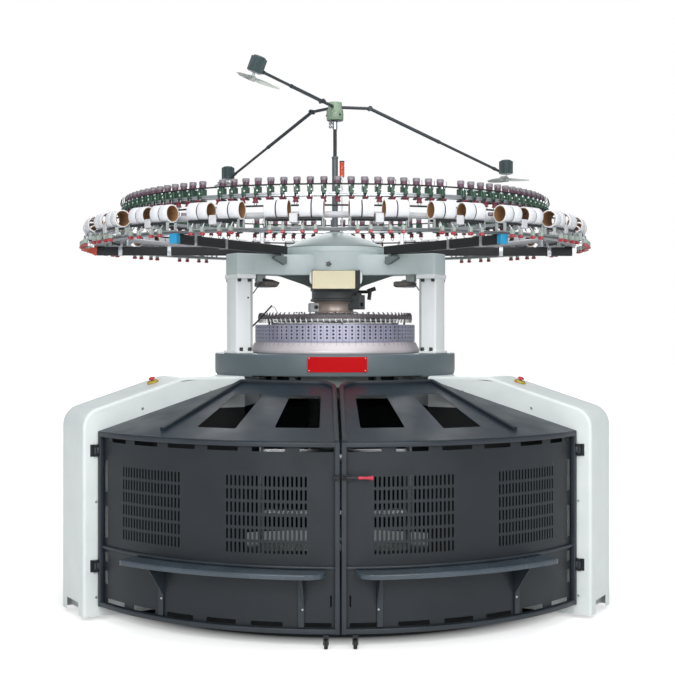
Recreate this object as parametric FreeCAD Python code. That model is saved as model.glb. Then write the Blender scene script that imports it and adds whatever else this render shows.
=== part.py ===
"""An industrial circular knitting machine, in millimetres.

The machine's axis is Z, the floor is z = 0 and its front doors face -Y.
An azimuth is an angle about the axis, 0 at the front and growing towards +X.
A leg's own frame has u outwards from the axis, t along the circle and z up.
"""

import FreeCAD, Part
import math
import os

V = FreeCAD.Vector

# ---------------------------------------------------------------- driving dimensions

RUN_GAP = 0.3                 # between faces that pass or lie on each other on different pieces
PIN_GAP = 0.1                 # radial clearance of a pin in its bore

# legs and their covers
LEG_AZIMUTHS = {"left": -60, "right": 60, "rear": 180}
LEG_REACH = 1630              # from the axis to the covers' end walls
LEG_WIDTH = 336
CAST_WIDTH = 190
COVER_SHEET = 2
COVER_LIFT = 6                # floor to the covers' lower edge
COVER_ROOF = 1262
COVER_ROOF_REACH = 1060       # where the roof starts to slope
COVER_SLOPE = 17              # degrees
COVER_CORNER = 110            # radius between slope and end wall
COVER_INNER = 690
NOTCH_WIDTH = 180
NOTCH_HEIGHT = 55
FOOT_R = 48
FOOT_HEIGHT = 40

# base plate and knitting head
PLATE_R = 715
PLATE_BOTTOM = 1257           # underside of the pads over the legs
PLATE_PAD = 33
PLATE_PAD_ARC = 36            # degrees
PLATE_PAD_R = (560, 713)
PLATE_HEIGHT = 129            # of drum and pads together
LOWER_PLATE = 325             # length of the plain plate round the base plate's front
CYLINDER_R = 381
CYLINDER_WALL = 36
CYLINDER_TOP = 1562
HOUSING_R = 546
HOUSING_WALL = 34
HOUSING_HEIGHT = 90
HOUSING_LIP_R = 493
HOUSING_WINDOWS = ((-47, 90), (21.5, 50), (33.5, 120))   # azimuth and width, three times round
CAM_R = 477
CAM_BOTTOM = 1449
CAM_TOP = 1551
CAM_BOXES = 42                # each box holds two of the 84 knitting systems
SADDLE_R = 482
FLANGE_R = 507
FLANGE_Z = 1421
GUIDE_R = 459
GUIDE_POSTS = 6
GUIDE_SEGMENTS = 12
HEAD_SIDES = 32               # flats on the faceted rings of the head
DIAL_R = 368
DIAL_THICK = 20
SHAFT_R = 30
SLEEVE_R = 111
GEAR_CASE_R = 147
GEAR_CASE_HEIGHT = 78
SLEEVE_TOP = 1690

# columns and crown
COLUMN_AT = 630
COLUMN_TANGENTIAL = 125
COLUMN_RADIAL = 100
COLUMN_FLANGE = 14
CROWN_ARM_BOTTOM = 1838
CROWN_ARM_HEIGHT = 119
CROWN_ARM_REACH = 690
CROWN_ARM_WIDTH = 150
CROWN_R = 300
CROWN_BAND_BOTTOM = 1860
CROWN_TOP = 2006
DOME_HEIGHT = 100
DOME_FLAT_R = 65
LAMP_R = 75
LAMP_AT = 465
LAMP_HEIGHT = 42
LAMP_BOTTOM = 1766

# take-down under the cylinder
TAKEDOWN_HALF = 434           # from the axis to the side plates' inner faces
TAKEDOWN_SHEET = 12
TAKEDOWN_DEPTH = 380
TAKEDOWN_BOTTOM = 190
NIP_R = 42
NIP_Z = 760
NIP_NIP = 2                   # gap between the two nip rolls
FABRIC_R = 30
FABRIC_Z = 420
JOURNAL_R = 14

# doors
DOOR_R = 1552                 # centre line of the door tubes
DOOR_FLATS = 6                # chords along one door
TUBE = 25
DOOR_BOTTOM = 76
DOOR_TOP = 987
MID_RAIL_Z = 380
MID_RAIL = 16
DOOR_GAP = 7                  # between the two centre posts
HOOD_GAP = 13                 # between the two hoods, which swing slightly inwards first
SIDE_GAP = 6                  # between a door's end post and the cover
DOOR_SHEET = 2
TAB_SLOT = 24                 # height of the slots between sheet and tube
TAB_SLOT_ARC = 6.0            # degrees
HOOD_R = 765
HOOD_CORNER = 60              # cut off the hood's inner corner, so one door opens past the other
HOOD_SLOPE = 16.7             # degrees
STEP_DEPTH = 140
STEP_LIP = 24
STEP_ARC = (2.6, 41.0)
STEP_CORNER = 90
BRACKET_AZIMUTHS = (7.0, 35.0)
BRACKET_BAR = 30
BRACKET_PLATE = 6
HINGE_HEIGHTS = (286, 890)
HINGE_PIN_R = 5
KNUCKLE_R = 9
KNUCKLE_HEIGHT = 34
LATCH_Z = 820
CASTER_AT = 70                # from the centre gap
CASTER_WHEEL_R = 25
CASTER_WHEEL_WIDTH = 20
CASTER_TRAIL = 16
CASTER_AXLE_R = 4

# feeder ring
BEAM_START = 369
BEAM_LENGTH = 1052
BEAM_HEIGHT = 50
BEAM_WIDTH = 40
BEAM_OFFSET = 45
BEAM_TURN = 30                # degrees between a beam and its crown arm
FEEDER_R = 1225
FEEDER_COUNT = 108
FEEDER_PITCH = 3.18           # degrees between the feeders of a block
FEEDER_TURN = -2.0            # azimuth of the front block's middle
FEEDER_RAIL_Z = 2192
FEEDER_BODY = 38              # height of a feeder's housing
FEEDER_CUP = 40               # height of the drive pulleys on it
PACKAGE_R = 1434
UNIT_PAIRS = 22
UNIT_SPREAD = 6.8             # degrees between the two units of a pair
UNIT_TURN = -0.7              # shift of all the pairs round the ring
PACKAGE_OD = 94
PACKAGE_LENGTH = 118          # the two packages of a unit, side by side
PACKAGE_Z = 2108
RAIL_HEIGHT = 20
RAIL_SEGMENTS = 12

# mast, lamp and fans
MAST_R = 18
MAST_SLIDE_R = 11
MAST_JOINT_Z = 2559
FAN_HUB_R = 51
FAN_HUB_DRUM = 66             # height of the hub's wider lower part
FAN_HUB_CAP_R = 41
FAN_HUB_BOTTOM = 2775
FAN_HUB_HEIGHT = 110
FAN_ARM = 14
FAN_SLEEVE = 22               # the arm's inner tube
FAN_ELBOW_R = 215
MOTOR_R = 43
MOTOR_HEIGHT = 92
MOTOR_FOOT = 25               # the arm meets the motor this far below its middle
SHAFT_LENGTH = 31
PROPELLER_R = 150
FAN_TIPS = {                  # azimuth, reach, height and sideways tilt of each motor
    "front": (-22, 1120, 2889, 22),
    "right": (101, 1080, 2525, 0),
    "left": (-140, 1085, 2563, 0),
}

# ---------------------------------------------------------------- helpers


def turned(shape, azimuth):
    """A copy of the shape turned about the machine's axis."""
    copy = shape.copy()
    copy.rotate(V(0, 0, 0), V(0, 0, 1), azimuth)
    return copy


def mirrored(shape):
    """The shape's mirror image on the other side of the machine's front-to-back plane."""
    return shape.mirror(V(0, 0, 0), V(1, 0, 0))


def box(x, y, z):
    """A box from three (low, high) pairs."""
    return Part.makeBox(x[1] - x[0], y[1] - y[0], z[1] - z[0], V(x[0], y[0], z[0]))


def leg_box(u, t, z):
    """A box in the frame of a leg that points to the front."""
    return box(t, (-u[1], -u[0]), z)


def flat_face(points):
    """A plane face with the given corners."""
    return Part.Face(Part.makePolygon(list(points) + [points[0]]))


def side_prism(points, t):
    """A (u, z) outline of a leg that points to the front, from t[0] to t[1]."""
    face = flat_face([V(t[0], -u, z) for u, z in points])
    return face.extrude(V(t[1] - t[0], 0, 0))


def corners(sides, r, z, phase=0.0):
    """The corners of a regular polygon round the machine's axis."""
    step = 360.0 / sides
    angles = [math.radians(phase + step * i) for i in range(sides)]
    return [V(r * math.sin(a), -r * math.cos(a), z) for a in angles]


def disc(sides, r, z0, z1, phase=0.0):
    """A prism with a regular polygon as its base, r from its axis to its corners."""
    return flat_face(corners(sides, r, z0, phase)).extrude(V(0, 0, z1 - z0))


def faceted_ring(sides, outer, inner, z0, z1):
    """A ring of flats."""
    return disc(sides, outer, z0, z1).cut(disc(sides, inner, z0 - 1, z1 + 1))


def bored_for(sides, pin_r):
    """The corner radius of a bore whose flats clear a turning pin of corner radius pin_r."""
    return (pin_r + PIN_GAP) / math.cos(math.pi / sides)


def frustum(sides, low, high):
    """A solid between two regular polygons, each given as (r, z)."""
    a, b = corners(sides, *low), corners(sides, *high)
    around = [flat_face([a[i - 1], a[i], b[i], b[i - 1]]) for i in range(sides)]
    return Part.Solid(Part.Shell(around + [flat_face(a), flat_face(b)]))


def arc_points(r, z, a0, a1, flats):
    """Points along an arc about the machine's axis, from azimuth a0 to a1."""
    angles = [math.radians(a0 + (a1 - a0) * i / flats) for i in range(flats + 1)]
    return [V(r * math.sin(a), -r * math.cos(a), z) for a in angles]


def arc_bar(inner, outer, z0, z1, a0, a1, flats):
    """A bar bent round the machine's axis in flats."""
    points = arc_points(outer, z0, a0, a1, flats) + arc_points(inner, z0, a0, a1, flats)[::-1]
    return flat_face(points).extrude(V(0, 0, z1 - z0))


def clear_of(r, arc, flats):
    """The corner radius of a chord bar whose flats stay outside the radius r."""
    return r / math.cos(math.radians(arc / flats / 2))


def rod(start, end, width, height=None):
    """A square or rectangular bar between two points, its height lying in the upright plane."""
    height = height or width
    along = end - start
    side = along.cross(V(0, 0, 1)).normalize()
    up = side.cross(along).normalize()
    low = start - side * (width / 2) - up * (height / 2)
    face = flat_face([low, low + side * width, low + side * width + up * height, low + up * height])
    return face.extrude(along)


def polar(r, azimuth, z):
    """The point at a radius, azimuth and height."""
    a = math.radians(azimuth)
    return V(r * math.sin(a), -r * math.cos(a), z)


def fused(shapes):
    """The shapes joined into one solid."""
    return shapes[0].fuse(shapes[1:]).removeSplitter()


def save(name, *shapes):
    """Writes one named node, as a single solid or as a group of separate ones."""
    shape = shapes[0] if len(shapes) == 1 else Part.makeCompound(shapes)
    shape.exportStep(f"parts/{name}.step")


# ---------------------------------------------------------------- legs and covers


def cover_outline(inset):
    """The outline of a leg cover at t = 0, or moved in by inset but past its two open ends."""
    slope = math.tan(math.radians(COVER_SLOPE))
    end = LEG_REACH - inset
    roof = COVER_ROOF - inset
    bend = COVER_ROOF_REACH - inset * math.tan(math.radians(COVER_SLOPE / 2))
    radius = COVER_CORNER - inset
    run = radius * math.tan(math.radians((90 - COVER_SLOPE) / 2))
    corner_z = roof - (end - bend) * slope
    first = V(0, -(end - run * math.cos(math.radians(COVER_SLOPE))),
              corner_z + run * math.sin(math.radians(COVER_SLOPE)))
    last = V(0, -end, corner_z - run)
    centre = V(0, -(end - radius), corner_z - run)
    half = math.radians((90 - COVER_SLOPE) / 2)
    middle = centre + V(0, -radius * math.cos(half), radius * math.sin(half))
    low = COVER_LIFT if inset == 0 else COVER_LIFT - 1
    inner = COVER_INNER if inset == 0 else COVER_INNER - 1
    start = V(0, -inner, low)
    edges = [
        Part.LineSegment(start, V(0, -inner, roof)).toShape(),
        Part.LineSegment(V(0, -inner, roof), V(0, -bend, roof)).toShape(),
        Part.LineSegment(V(0, -bend, roof), first).toShape(),
        Part.Arc(first, middle, last).toShape(),
        Part.LineSegment(last, V(0, -end, low)).toShape(),
        Part.LineSegment(V(0, -end, low), start).toShape(),
    ]
    return Part.Wire(edges)


def cover_solid(inset):
    """The cover's outer form, or with an inset the space inside its sheet."""
    width = LEG_WIDTH - 2 * inset
    solid = Part.Face(cover_outline(inset)).extrude(V(width, 0, 0))
    solid.translate(V(-width / 2, 0, 0))
    return solid


def leg_cover():
    """A folded sheet cover, open below and towards the axis, with a notch in its end wall."""
    cover = cover_solid(0).cut(cover_solid(COVER_SHEET))
    notch = leg_box((LEG_REACH - 20, LEG_REACH + 1), (-NOTCH_WIDTH / 2, NOTCH_WIDTH / 2),
                    (0, COVER_LIFT + NOTCH_HEIGHT))
    room = Part.makeCylinder(PLATE_PAD_R[1] + RUN_GAP, 40, V(0, 0, PLATE_BOTTOM - RUN_GAP))
    return cover.cut(notch).cut(room)


def slope_height(u):
    """The height of the cover's sloping top at a distance u from the axis."""
    return COVER_ROOF - (u - COVER_ROOF_REACH) * math.tan(math.radians(COVER_SLOPE))


def leg_casting():
    """An arched cast leg from its pad under the base plate down to the floor end."""
    outline = [
        (560, PLATE_BOTTOM), (700, PLATE_BOTTOM), (745, 1235), (1055, 1235), (1500, 1095),
        (1600, 1000), (1600, FOOT_HEIGHT), (1380, FOOT_HEIGHT), (1330, 640), (1180, 880),
        (900, 1030), (560, 1110),
    ]
    return side_prism(outline, (-CAST_WIDTH / 2, CAST_WIDTH / 2))


def levelling_feet():
    """Two round feet under a leg casting."""
    feet = []
    for u in (1430, 1550):
        foot = disc(6, FOOT_R, 0, FOOT_HEIGHT)
        foot.translate(V(0, -u, 0))
        feet.append(foot)
    return feet


# ---------------------------------------------------------------- base plate and head


def base_plate():
    """The round cast drum that carries the knitting head, with a pad under it for each leg."""
    low, top = PLATE_BOTTOM + PLATE_PAD, PLATE_BOTTOM + PLATE_HEIGHT
    drum = faceted_ring(48, PLATE_R, SADDLE_BORE, low, top)
    half = PLATE_PAD_ARC / 2
    pad = arc_bar(*PLATE_PAD_R, PLATE_BOTTOM, low, -half, half, 4)
    return fused([drum] + [turned(pad, a) for a in LEG_AZIMUTHS.values()])


def bearing_housing():
    """The ring under the base plate, with windows round it and a lip that carries the drive ring."""
    top = PLATE_BOTTOM + PLATE_PAD
    bottom = top - HOUSING_HEIGHT
    ring = faceted_ring(24, HOUSING_R, HOUSING_R - HOUSING_WALL, bottom, top)
    lip_top = DRIVE_TOP - DRIVE_HEIGHT - RUN_GAP
    ring = ring.fuse(faceted_ring(24, HOUSING_R - 5, HOUSING_LIP_R, bottom, lip_top)).removeSplitter()
    windows = []
    for azimuth, width in HOUSING_WINDOWS:
        hole = leg_box((HOUSING_R - 60, HOUSING_R + 10), (-width / 2, width / 2), (top - 28, top - 6))
        windows += [turned(hole, azimuth + 120 * k) for k in range(3)]
    return ring.cut(Part.makeCompound(windows))


def saddle_ring():
    """The polished ring and the sloping flange that carry the cams."""
    top = PLATE_BOTTOM + PLATE_HEIGHT
    ring = disc(HEAD_SIDES, SADDLE_R, top, FLANGE_Z)
    flange = disc(HEAD_SIDES, FLANGE_R, FLANGE_Z, FLANGE_Z + 8)
    slope = frustum(HEAD_SIDES, (FLANGE_R, FLANGE_Z + 8), (CAM_R, CAM_BOTTOM))
    bore = disc(HEAD_SIDES, SADDLE_BORE, top - 1, CAM_BOTTOM + 1)
    return fused([ring, flange, slope]).cut(bore)


def cam_boxes():
    """The cam boxes round the cylinder, with a joint between neighbours."""
    half = 180.0 / CAM_BOXES
    joint = math.degrees(0.5 / CAM_R)
    inner = CYLINDER_R + 3
    points = [polar(CAM_R, -half + joint, CAM_BOTTOM), polar(CAM_R, half - joint, CAM_BOTTOM),
              polar(inner, half - joint, CAM_BOTTOM), polar(inner, -half + joint, CAM_BOTTOM)]
    block = flat_face(points).extrude(V(0, 0, CAM_TOP - CAM_BOTTOM))
    return [turned(block, 2 * half * k) for k in range(CAM_BOXES)]


def yarn_guide_ring():
    """The segments of the ring that carries the yarn guides, on posts on the cam boxes."""
    low = CAM_TOP + 34
    arc = 360 / GUIDE_SEGMENTS
    joint = math.degrees(RUN_GAP / GUIDE_R)
    segments = [arc_bar(GUIDE_R - 20, GUIDE_R, low, low + 18, arc * k + joint, arc * (k + 1) - joint, 2)
                for k in range(GUIDE_SEGMENTS)]
    post = leg_box((GUIDE_R - 20, GUIDE_R - 8), (-6, 6), (CAM_TOP, low))
    first = 360.0 / CAM_BOXES / 2
    return segments + [turned(post, first + 360 / GUIDE_POSTS * k) for k in range(GUIDE_POSTS)]


def needle_cylinder():
    """The turning tube that holds the needles."""
    return faceted_ring(HEAD_SIDES, CYLINDER_R, CYLINDER_R - CYLINDER_WALL, DRIVE_TOP, CYLINDER_TOP)


def drive_ring():
    """The ring that turns the cylinder and carries the take-down frame."""
    outer = HOUSING_R - HOUSING_WALL - 8
    return faceted_ring(24, outer, CYLINDER_R - CYLINDER_WALL, DRIVE_TOP - DRIVE_HEIGHT, DRIVE_TOP)


def dial():
    """The dial plate and the shaft that turns it."""
    low = CYLINDER_TOP + 4
    plate = disc(HEAD_SIDES, DIAL_R, low, low + DIAL_THICK)
    shaft = disc(8, SHAFT_R, low + DIAL_THICK, SLEEVE_TOP - RUN_GAP)
    return fused([plate, shaft])


def dial_drive():
    """The fixed cap over the dial, the sleeve and the gear case under the crown."""
    cap_bottom = CYLINDER_TOP + 4 + DIAL_THICK + 4
    cap_top = cap_bottom + 30
    bore = disc(8, bored_for(8, SHAFT_R), cap_bottom - 1, SLEEVE_TOP + 1)
    cap = disc(24, DIAL_R - 8, cap_bottom, cap_top)
    sleeve = disc(20, SLEEVE_R, cap_top, SLEEVE_TOP)
    case = disc(24, GEAR_CASE_R, SLEEVE_TOP, SLEEVE_TOP + GEAR_CASE_HEIGHT)
    return [cap.cut(bore), sleeve.cut(bore), case]


# ---------------------------------------------------------------- columns and crown


def column():
    """A box column with a flange at its foot and one under the crown."""
    foot = PLATE_BOTTOM + PLATE_HEIGHT
    u = (COLUMN_AT - COLUMN_RADIAL / 2, COLUMN_AT + COLUMN_RADIAL / 2)
    t = (-COLUMN_TANGENTIAL / 2, COLUMN_TANGENTIAL / 2)
    wide_u = (u[0] - 18, u[1] + 18)
    wide_t = (t[0] - 20, t[1] + 20)
    return fused([
        leg_box(u, t, (foot, CROWN_ARM_BOTTOM)),
        leg_box(wide_u, wide_t, (foot, foot + COLUMN_FLANGE)),
        leg_box((u[0], u[1]), wide_t, (CROWN_ARM_BOTTOM - COLUMN_FLANGE, CROWN_ARM_BOTTOM)),
    ])


def crown_arm():
    """A tapering arm of the crown, over a column."""
    half, root = CROWN_ARM_WIDTH / 2, CROWN_ARM_WIDTH * 0.75
    inner, middle = CROWN_R - 60, COLUMN_AT - COLUMN_RADIAL / 2 - 20
    plan = [V(-root, -inner, CROWN_ARM_BOTTOM), V(root, -inner, CROWN_ARM_BOTTOM),
            V(half, -middle, CROWN_ARM_BOTTOM), V(half, -CROWN_ARM_REACH, CROWN_ARM_BOTTOM),
            V(-half, -CROWN_ARM_REACH, CROWN_ARM_BOTTOM), V(-half, -middle, CROWN_ARM_BOTTOM)]
    return flat_face(plan).extrude(V(0, 0, CROWN_ARM_HEIGHT))


def crown():
    """The crown casting: a hub with a hollow cone below, and three arms on the columns."""
    bottom = SLEEVE_TOP + GEAR_CASE_HEIGHT
    cone = frustum(HEAD_SIDES, (GEAR_CASE_R, bottom), (CROWN_R, CROWN_BAND_BOTTOM))
    band = disc(HEAD_SIDES, CROWN_R, CROWN_BAND_BOTTOM, CROWN_TOP)
    return fused([cone, band] + [turned(crown_arm(), a) for a in LEG_AZIMUTHS.values()])


def work_lamp():
    """A round lamp on a stem under a crown arm."""
    lamp = disc(8, LAMP_R, LAMP_BOTTOM, LAMP_BOTTOM + LAMP_HEIGHT)
    lamp.translate(V(0, -LAMP_AT, 0))
    stem = leg_box((LAMP_AT - 12, LAMP_AT + 12), (-12, 12),
                   (LAMP_BOTTOM + LAMP_HEIGHT, CROWN_ARM_BOTTOM))
    return fused([lamp, stem])


def upper_plate():
    """The plain plate on two bars in front of the crown."""
    half = 125
    top = CROWN_BAND_BOTTOM + 2
    front = -(CROWN_R + 4)
    upper = box((-half, half), (front - 3, front), (top - 105, top))
    bars = []
    for side in (-1, 1):
        x = sorted((side * half, side * (half + 14)))
        back = -math.sqrt(CROWN_R ** 2 - half ** 2)
        bars.append(box(x, (front - 3, back), (top - 105, top + 24)))
    return fused([upper] + bars)


def lower_plate():
    """The bent plain plate on the front of the base plate."""
    arc = 2 * math.degrees(LOWER_PLATE / 2 / PLATE_R)
    inner = clear_of(PLATE_R + RUN_GAP, arc, 6)
    return arc_bar(inner, inner + 3, 1298, 1374, -arc / 2, arc / 2, 6)


# ---------------------------------------------------------------- take-down


def takedown_frame():
    """Two side plates hung under the drive ring and the ties between them."""
    top = DRIVE_TOP - DRIVE_HEIGHT
    half = TAKEDOWN_DEPTH / 2
    outline = [(-half, top), (half, top), (half, 620), (half - 70, TAKEDOWN_BOTTOM),
               (-half + 70, TAKEDOWN_BOTTOM), (-half, 620)]
    plate = side_prism(outline, (TAKEDOWN_HALF, TAKEDOWN_HALF + TAKEDOWN_SHEET))
    holes = [roll_bore(y, z) for y, z in ROLL_PLACES]
    plate = plate.cut(Part.makeCompound(holes))
    ties = [box((-TAKEDOWN_HALF, TAKEDOWN_HALF), (y - 20, y + 20), (z, z + 40))
            for y, z in ((0, TAKEDOWN_BOTTOM + 10), (-half + 20, 1120), (half - 20, 1120))]
    return [plate, mirrored(plate)] + ties


def roll_bore(y, z):
    """The bore for a roll's journal through both side plates."""
    r = bored_for(12, JOURNAL_R)
    hole = x_prism(12, r, -TAKEDOWN_HALF - 40, TAKEDOWN_HALF + 40)
    hole.translate(V(0, y, z))
    return hole


def x_prism(sides, r, x0, x1):
    """A regular prism along X."""
    step = 2 * math.pi / sides
    points = [V(x0, r * math.cos(step * i), r * math.sin(step * i)) for i in range(sides)]
    return flat_face(points).extrude(V(x1 - x0, 0, 0))


def roll(r, sides, y, z):
    """A roll between the side plates, with a journal in each."""
    body = x_prism(sides, r, -TAKEDOWN_HALF + 3, TAKEDOWN_HALF - 3)
    reach = TAKEDOWN_HALF + TAKEDOWN_SHEET
    shape = fused([body, x_prism(12, JOURNAL_R, -reach, reach)])
    shape.translate(V(0, y, z))
    return shape


# ---------------------------------------------------------------- doors


def hood_height(r):
    """The height of the underside of the sloping hood at a radius."""
    return DOOR_TOP + RUN_GAP + (DOOR_R + TUBE / 2 - r) * math.tan(math.radians(HOOD_SLOPE))


def end_azimuth():
    """The azimuth of the right door's end post, which stands beside the leg cover."""
    out = LEG_WIDTH / 2 + SIDE_GAP + TUBE / 2
    return LEG_AZIMUTHS["right"] - math.degrees(math.asin(out / DOOR_R))


def door_arc():
    """The azimuth of the right door's outer edge."""
    return end_azimuth() + math.degrees(TUBE / 2 / DOOR_R)


def centre_gap(half):
    """A cutter that keeps the right door clear of the centre line."""
    return box((-40, half), (-2000, 0), (0, 1500))


def hinge_point(z):
    """A point on the right door's hinge axis."""
    u = math.sqrt(DOOR_R ** 2 - (LEG_WIDTH / 2 + SIDE_GAP) ** 2) + TUBE / 2 + HINGE_STAND
    point = V(-(LEG_WIDTH / 2 + HINGE_STAND), -u, z)
    return FreeCAD.Rotation(V(0, 0, 1), LEG_AZIMUTHS["right"]).multVec(point)


def door_rail(z, height, depth=TUBE):
    """A rail between the two posts of the right door, with its back on the tubes' back."""
    back = DOOR_R - TUBE / 2
    rail = arc_bar(back, back + depth, z, z + height, 0, door_arc(), DOOR_FLATS)
    return rail.cut(centre_gap(DOOR_GAP / 2))


def door_posts():
    """The centre post and the end post of the right door."""
    radial = (DOOR_R - TUBE / 2, DOOR_R + TUBE / 2)
    upright = (DOOR_BOTTOM, DOOR_TOP)
    centre = leg_box(radial, (DOOR_GAP / 2, DOOR_GAP / 2 + TUBE), upright)
    end = leg_box(radial, (-TUBE / 2, TUBE / 2), upright)
    return [centre, turned(end, end_azimuth())]


def door_knuckle(z):
    """The moving knuckle of a hinge, on a leaf from the right door's end post."""
    pivot = hinge_point(z)
    bore = disc(8, bored_for(8, HINGE_PIN_R), -1, KNUCKLE_HEIGHT + 1)
    tube = disc(8, KNUCKLE_R, 0, KNUCKLE_HEIGHT)
    for shape in (bore, tube):
        shape.translate(pivot - V(0, 0, KNUCKLE_HEIGHT / 2))
    post = polar(DOOR_R + TUBE / 2 - 4, end_azimuth(), z)
    leaf = rod(post, pivot, 12, KNUCKLE_HEIGHT)
    return fused([leaf, tube]).cut(bore)


def hood_border():
    """The tube border of the right door's hood, along its centre edge, top edge and slanting edge."""
    lift = DOOR_SHEET + TUBE / 2 + 1
    x = HOOD_GAP / 2 + TUBE / 2
    bend = HOOD_R + HOOD_CORNER
    foot = V(x, -DOOR_R, DOOR_TOP - 4)
    head = V(x, -bend, hood_height(bend) + lift)
    corner = V(x + HOOD_CORNER, -HOOD_R, hood_height(HOOD_R) + lift)
    z = hood_height(HOOD_R) + lift - TUBE / 2
    start = math.degrees(math.asin((x + HOOD_CORNER - TUBE / 4) / HOOD_R))
    top = arc_bar(HOOD_R - TUBE / 2, HOOD_R + TUBE / 2, z, z + TUBE, start, HOOD_SIDE[0], 6)
    slant = rod(polar(HOOD_R, HOOD_SIDE[0], hood_height(HOOD_R) + lift + 2),
                polar(HOOD_SIDE_R, HOOD_SIDE[1], hood_height(HOOD_SIDE_R) + lift + 2), TUBE)
    return [rod(foot, head, TUBE), rod(head, corner, TUBE), top, slant]


def door_frame():
    """The welded tube frame of the right door."""
    rails = [door_rail(DOOR_BOTTOM, TUBE), door_rail(MID_RAIL_Z, MID_RAIL, MID_RAIL),
             door_rail(DOOR_TOP - TUBE, TUBE)]
    knuckles = [door_knuckle(z) for z in HINGE_HEIGHTS]
    return fused(door_posts() + rails + hood_border() + knuckles)


def slot_cut(azimuth0, azimuth1, z0, z1):
    """A cutter through the door sheet between two azimuths and heights."""
    middle = (azimuth0 + azimuth1) / 2
    half = DOOR_R * math.radians(azimuth1 - azimuth0) / 2
    cutter = leg_box((DOOR_R - 60, DOOR_R + 60), (-half, half), (z0, z1))
    return turned(cutter, middle)


def tab_slots():
    """Slots that leave tabs between the sheet and the rails and end post."""
    slots = []
    pitch = door_arc() / DOOR_FLATS
    for i in range(DOOR_FLATS):
        azimuth = pitch * (i + 0.5) - TAB_SLOT_ARC / 2
        for z in (DOOR_BOTTOM + TUBE, DOOR_TOP - TUBE - TAB_SLOT):
            slots.append(slot_cut(azimuth, azimuth + TAB_SLOT_ARC, z, z + TAB_SLOT))
    edge = end_azimuth() - math.degrees(TUBE / 2 / DOOR_R)
    side = math.degrees(TAB_SLOT / DOOR_R)
    for z0, z1 in ((440, 610), (680, 850)):
        slots.append(slot_cut(edge - side, edge, z0, z1))
    return slots


def door_panel():
    """The curved sheet behind the right door's tubes; its grilles count as closed."""
    outer = (DOOR_R - TUBE / 2) - RUN_GAP
    top = DOOR_TOP - TUBE + 8
    sheet = arc_bar(outer - DOOR_SHEET, outer, DOOR_BOTTOM + 4, top, 0, door_arc(), DOOR_FLATS)
    return sheet.cut(Part.makeCompound([centre_gap(DOOR_GAP / 2)] + tab_slots()))


def hood_window(upper, lower):
    """A cutter for a window, from (r, azimuth, azimuth) of its upper and lower edges."""
    points = [polar(upper[0], upper[1], 900), polar(upper[0], upper[2], 900),
              polar(lower[0], lower[2], 900), polar(lower[0], lower[1], 900)]
    return flat_face(points).extrude(V(0, 0, 500))


def door_hood():
    """The sloping sheet from the top rail of the right door up to the base plate."""
    a1 = LEG_AZIMUTHS["right"]
    outer = DOOR_R + TUBE / 2
    low = arc_points(outer, hood_height(outer), 0, a1, DOOR_FLATS)
    high = arc_points(HOOD_R, hood_height(HOOD_R), 0, a1, DOOR_FLATS)
    strips = [Part.Face(Part.makePolygon([low[i], low[i + 1], high[i + 1], high[i], low[i]]))
              for i in range(DOOR_FLATS)]
    solids = [strip.extrude(V(0, 0, DOOR_SHEET)) for strip in strips]
    sheet = fused(solids)
    face_t = LEG_WIDTH / 2 + SIDE_GAP
    beyond = turned(leg_box((0, 2000), (-face_t, 400), (800, 1400)), a1)
    edge = HOOD_GAP / 2 + TUBE + RUN_GAP
    across = HOOD_GAP / 2 + TUBE / 2 + HOOD_R + HOOD_CORNER + (TUBE / 2 + RUN_GAP) * math.sqrt(2)
    inside = HOOD_R - HOOD_CORNER
    corner = flat_face([V(0, -across, 900), V(across - inside, -inside, 900),
                        V(0, -inside, 900)]).extrude(V(0, 0, 500))
    windows = [hood_window(*window) for window in HOOD_WINDOWS]
    return sheet.cut(beyond).cut(Part.makeCompound(windows)).cut(centre_gap(edge)).cut(corner)


def tray_solid(back, front, arc, corner, z0, z1):
    """A curved bar whose front corner beside the door gap is rounded."""
    bar = arc_bar(back, front, z0, z1, arc[0], arc[1], DOOR_FLATS)
    uprights = [e for e in bar.Edges if abs(e.Vertexes[0].Point.z - e.Vertexes[-1].Point.z) > 5]
    ends = [e for e in uprights if math.hypot(e.Vertexes[0].X, e.Vertexes[0].Y) > front - 1]
    return bar.makeFillet(corner, [min(ends, key=lambda e: e.Vertexes[0].X)])


def door_step():
    """The step tray of the right door, with its lip turned down."""
    top = MID_RAIL_Z - RUN_GAP
    back = clear_of(DOOR_R - TUBE / 2 + RUN_GAP, STEP_ARC[1] - STEP_ARC[0], DOOR_FLATS)
    front = back + STEP_DEPTH
    outer = tray_solid(back, front, STEP_ARC, STEP_CORNER, top - STEP_LIP, top)
    side = math.degrees(DOOR_SHEET / DOOR_R)
    inside = (STEP_ARC[0] + side, STEP_ARC[1] - side)
    hollow = tray_solid(back - 30, front - DOOR_SHEET, inside, STEP_CORNER - DOOR_SHEET,
                        top - STEP_LIP - 1, top - DOOR_SHEET)
    return outer.cut(hollow)


def step_bracket(azimuth):
    """A flat bar on the door with a triangular gusset under the step."""
    back = DOOR_R - TUBE / 2 + RUN_GAP
    top = MID_RAIL_Z - RUN_GAP - DOOR_SHEET - RUN_GAP
    bottom = DOOR_BOTTOM + TUBE + RUN_GAP
    bar = leg_box((back, back + BRACKET_PLATE), (-BRACKET_BAR / 2, BRACKET_BAR / 2), (bottom, top))
    reach = back + STEP_DEPTH - 14
    gusset = side_prism([(back, top), (reach, top), (back, top - 165)],
                        (-BRACKET_PLATE / 2, BRACKET_PLATE / 2))
    return turned(fused([bar, gusset]), azimuth)


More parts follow.
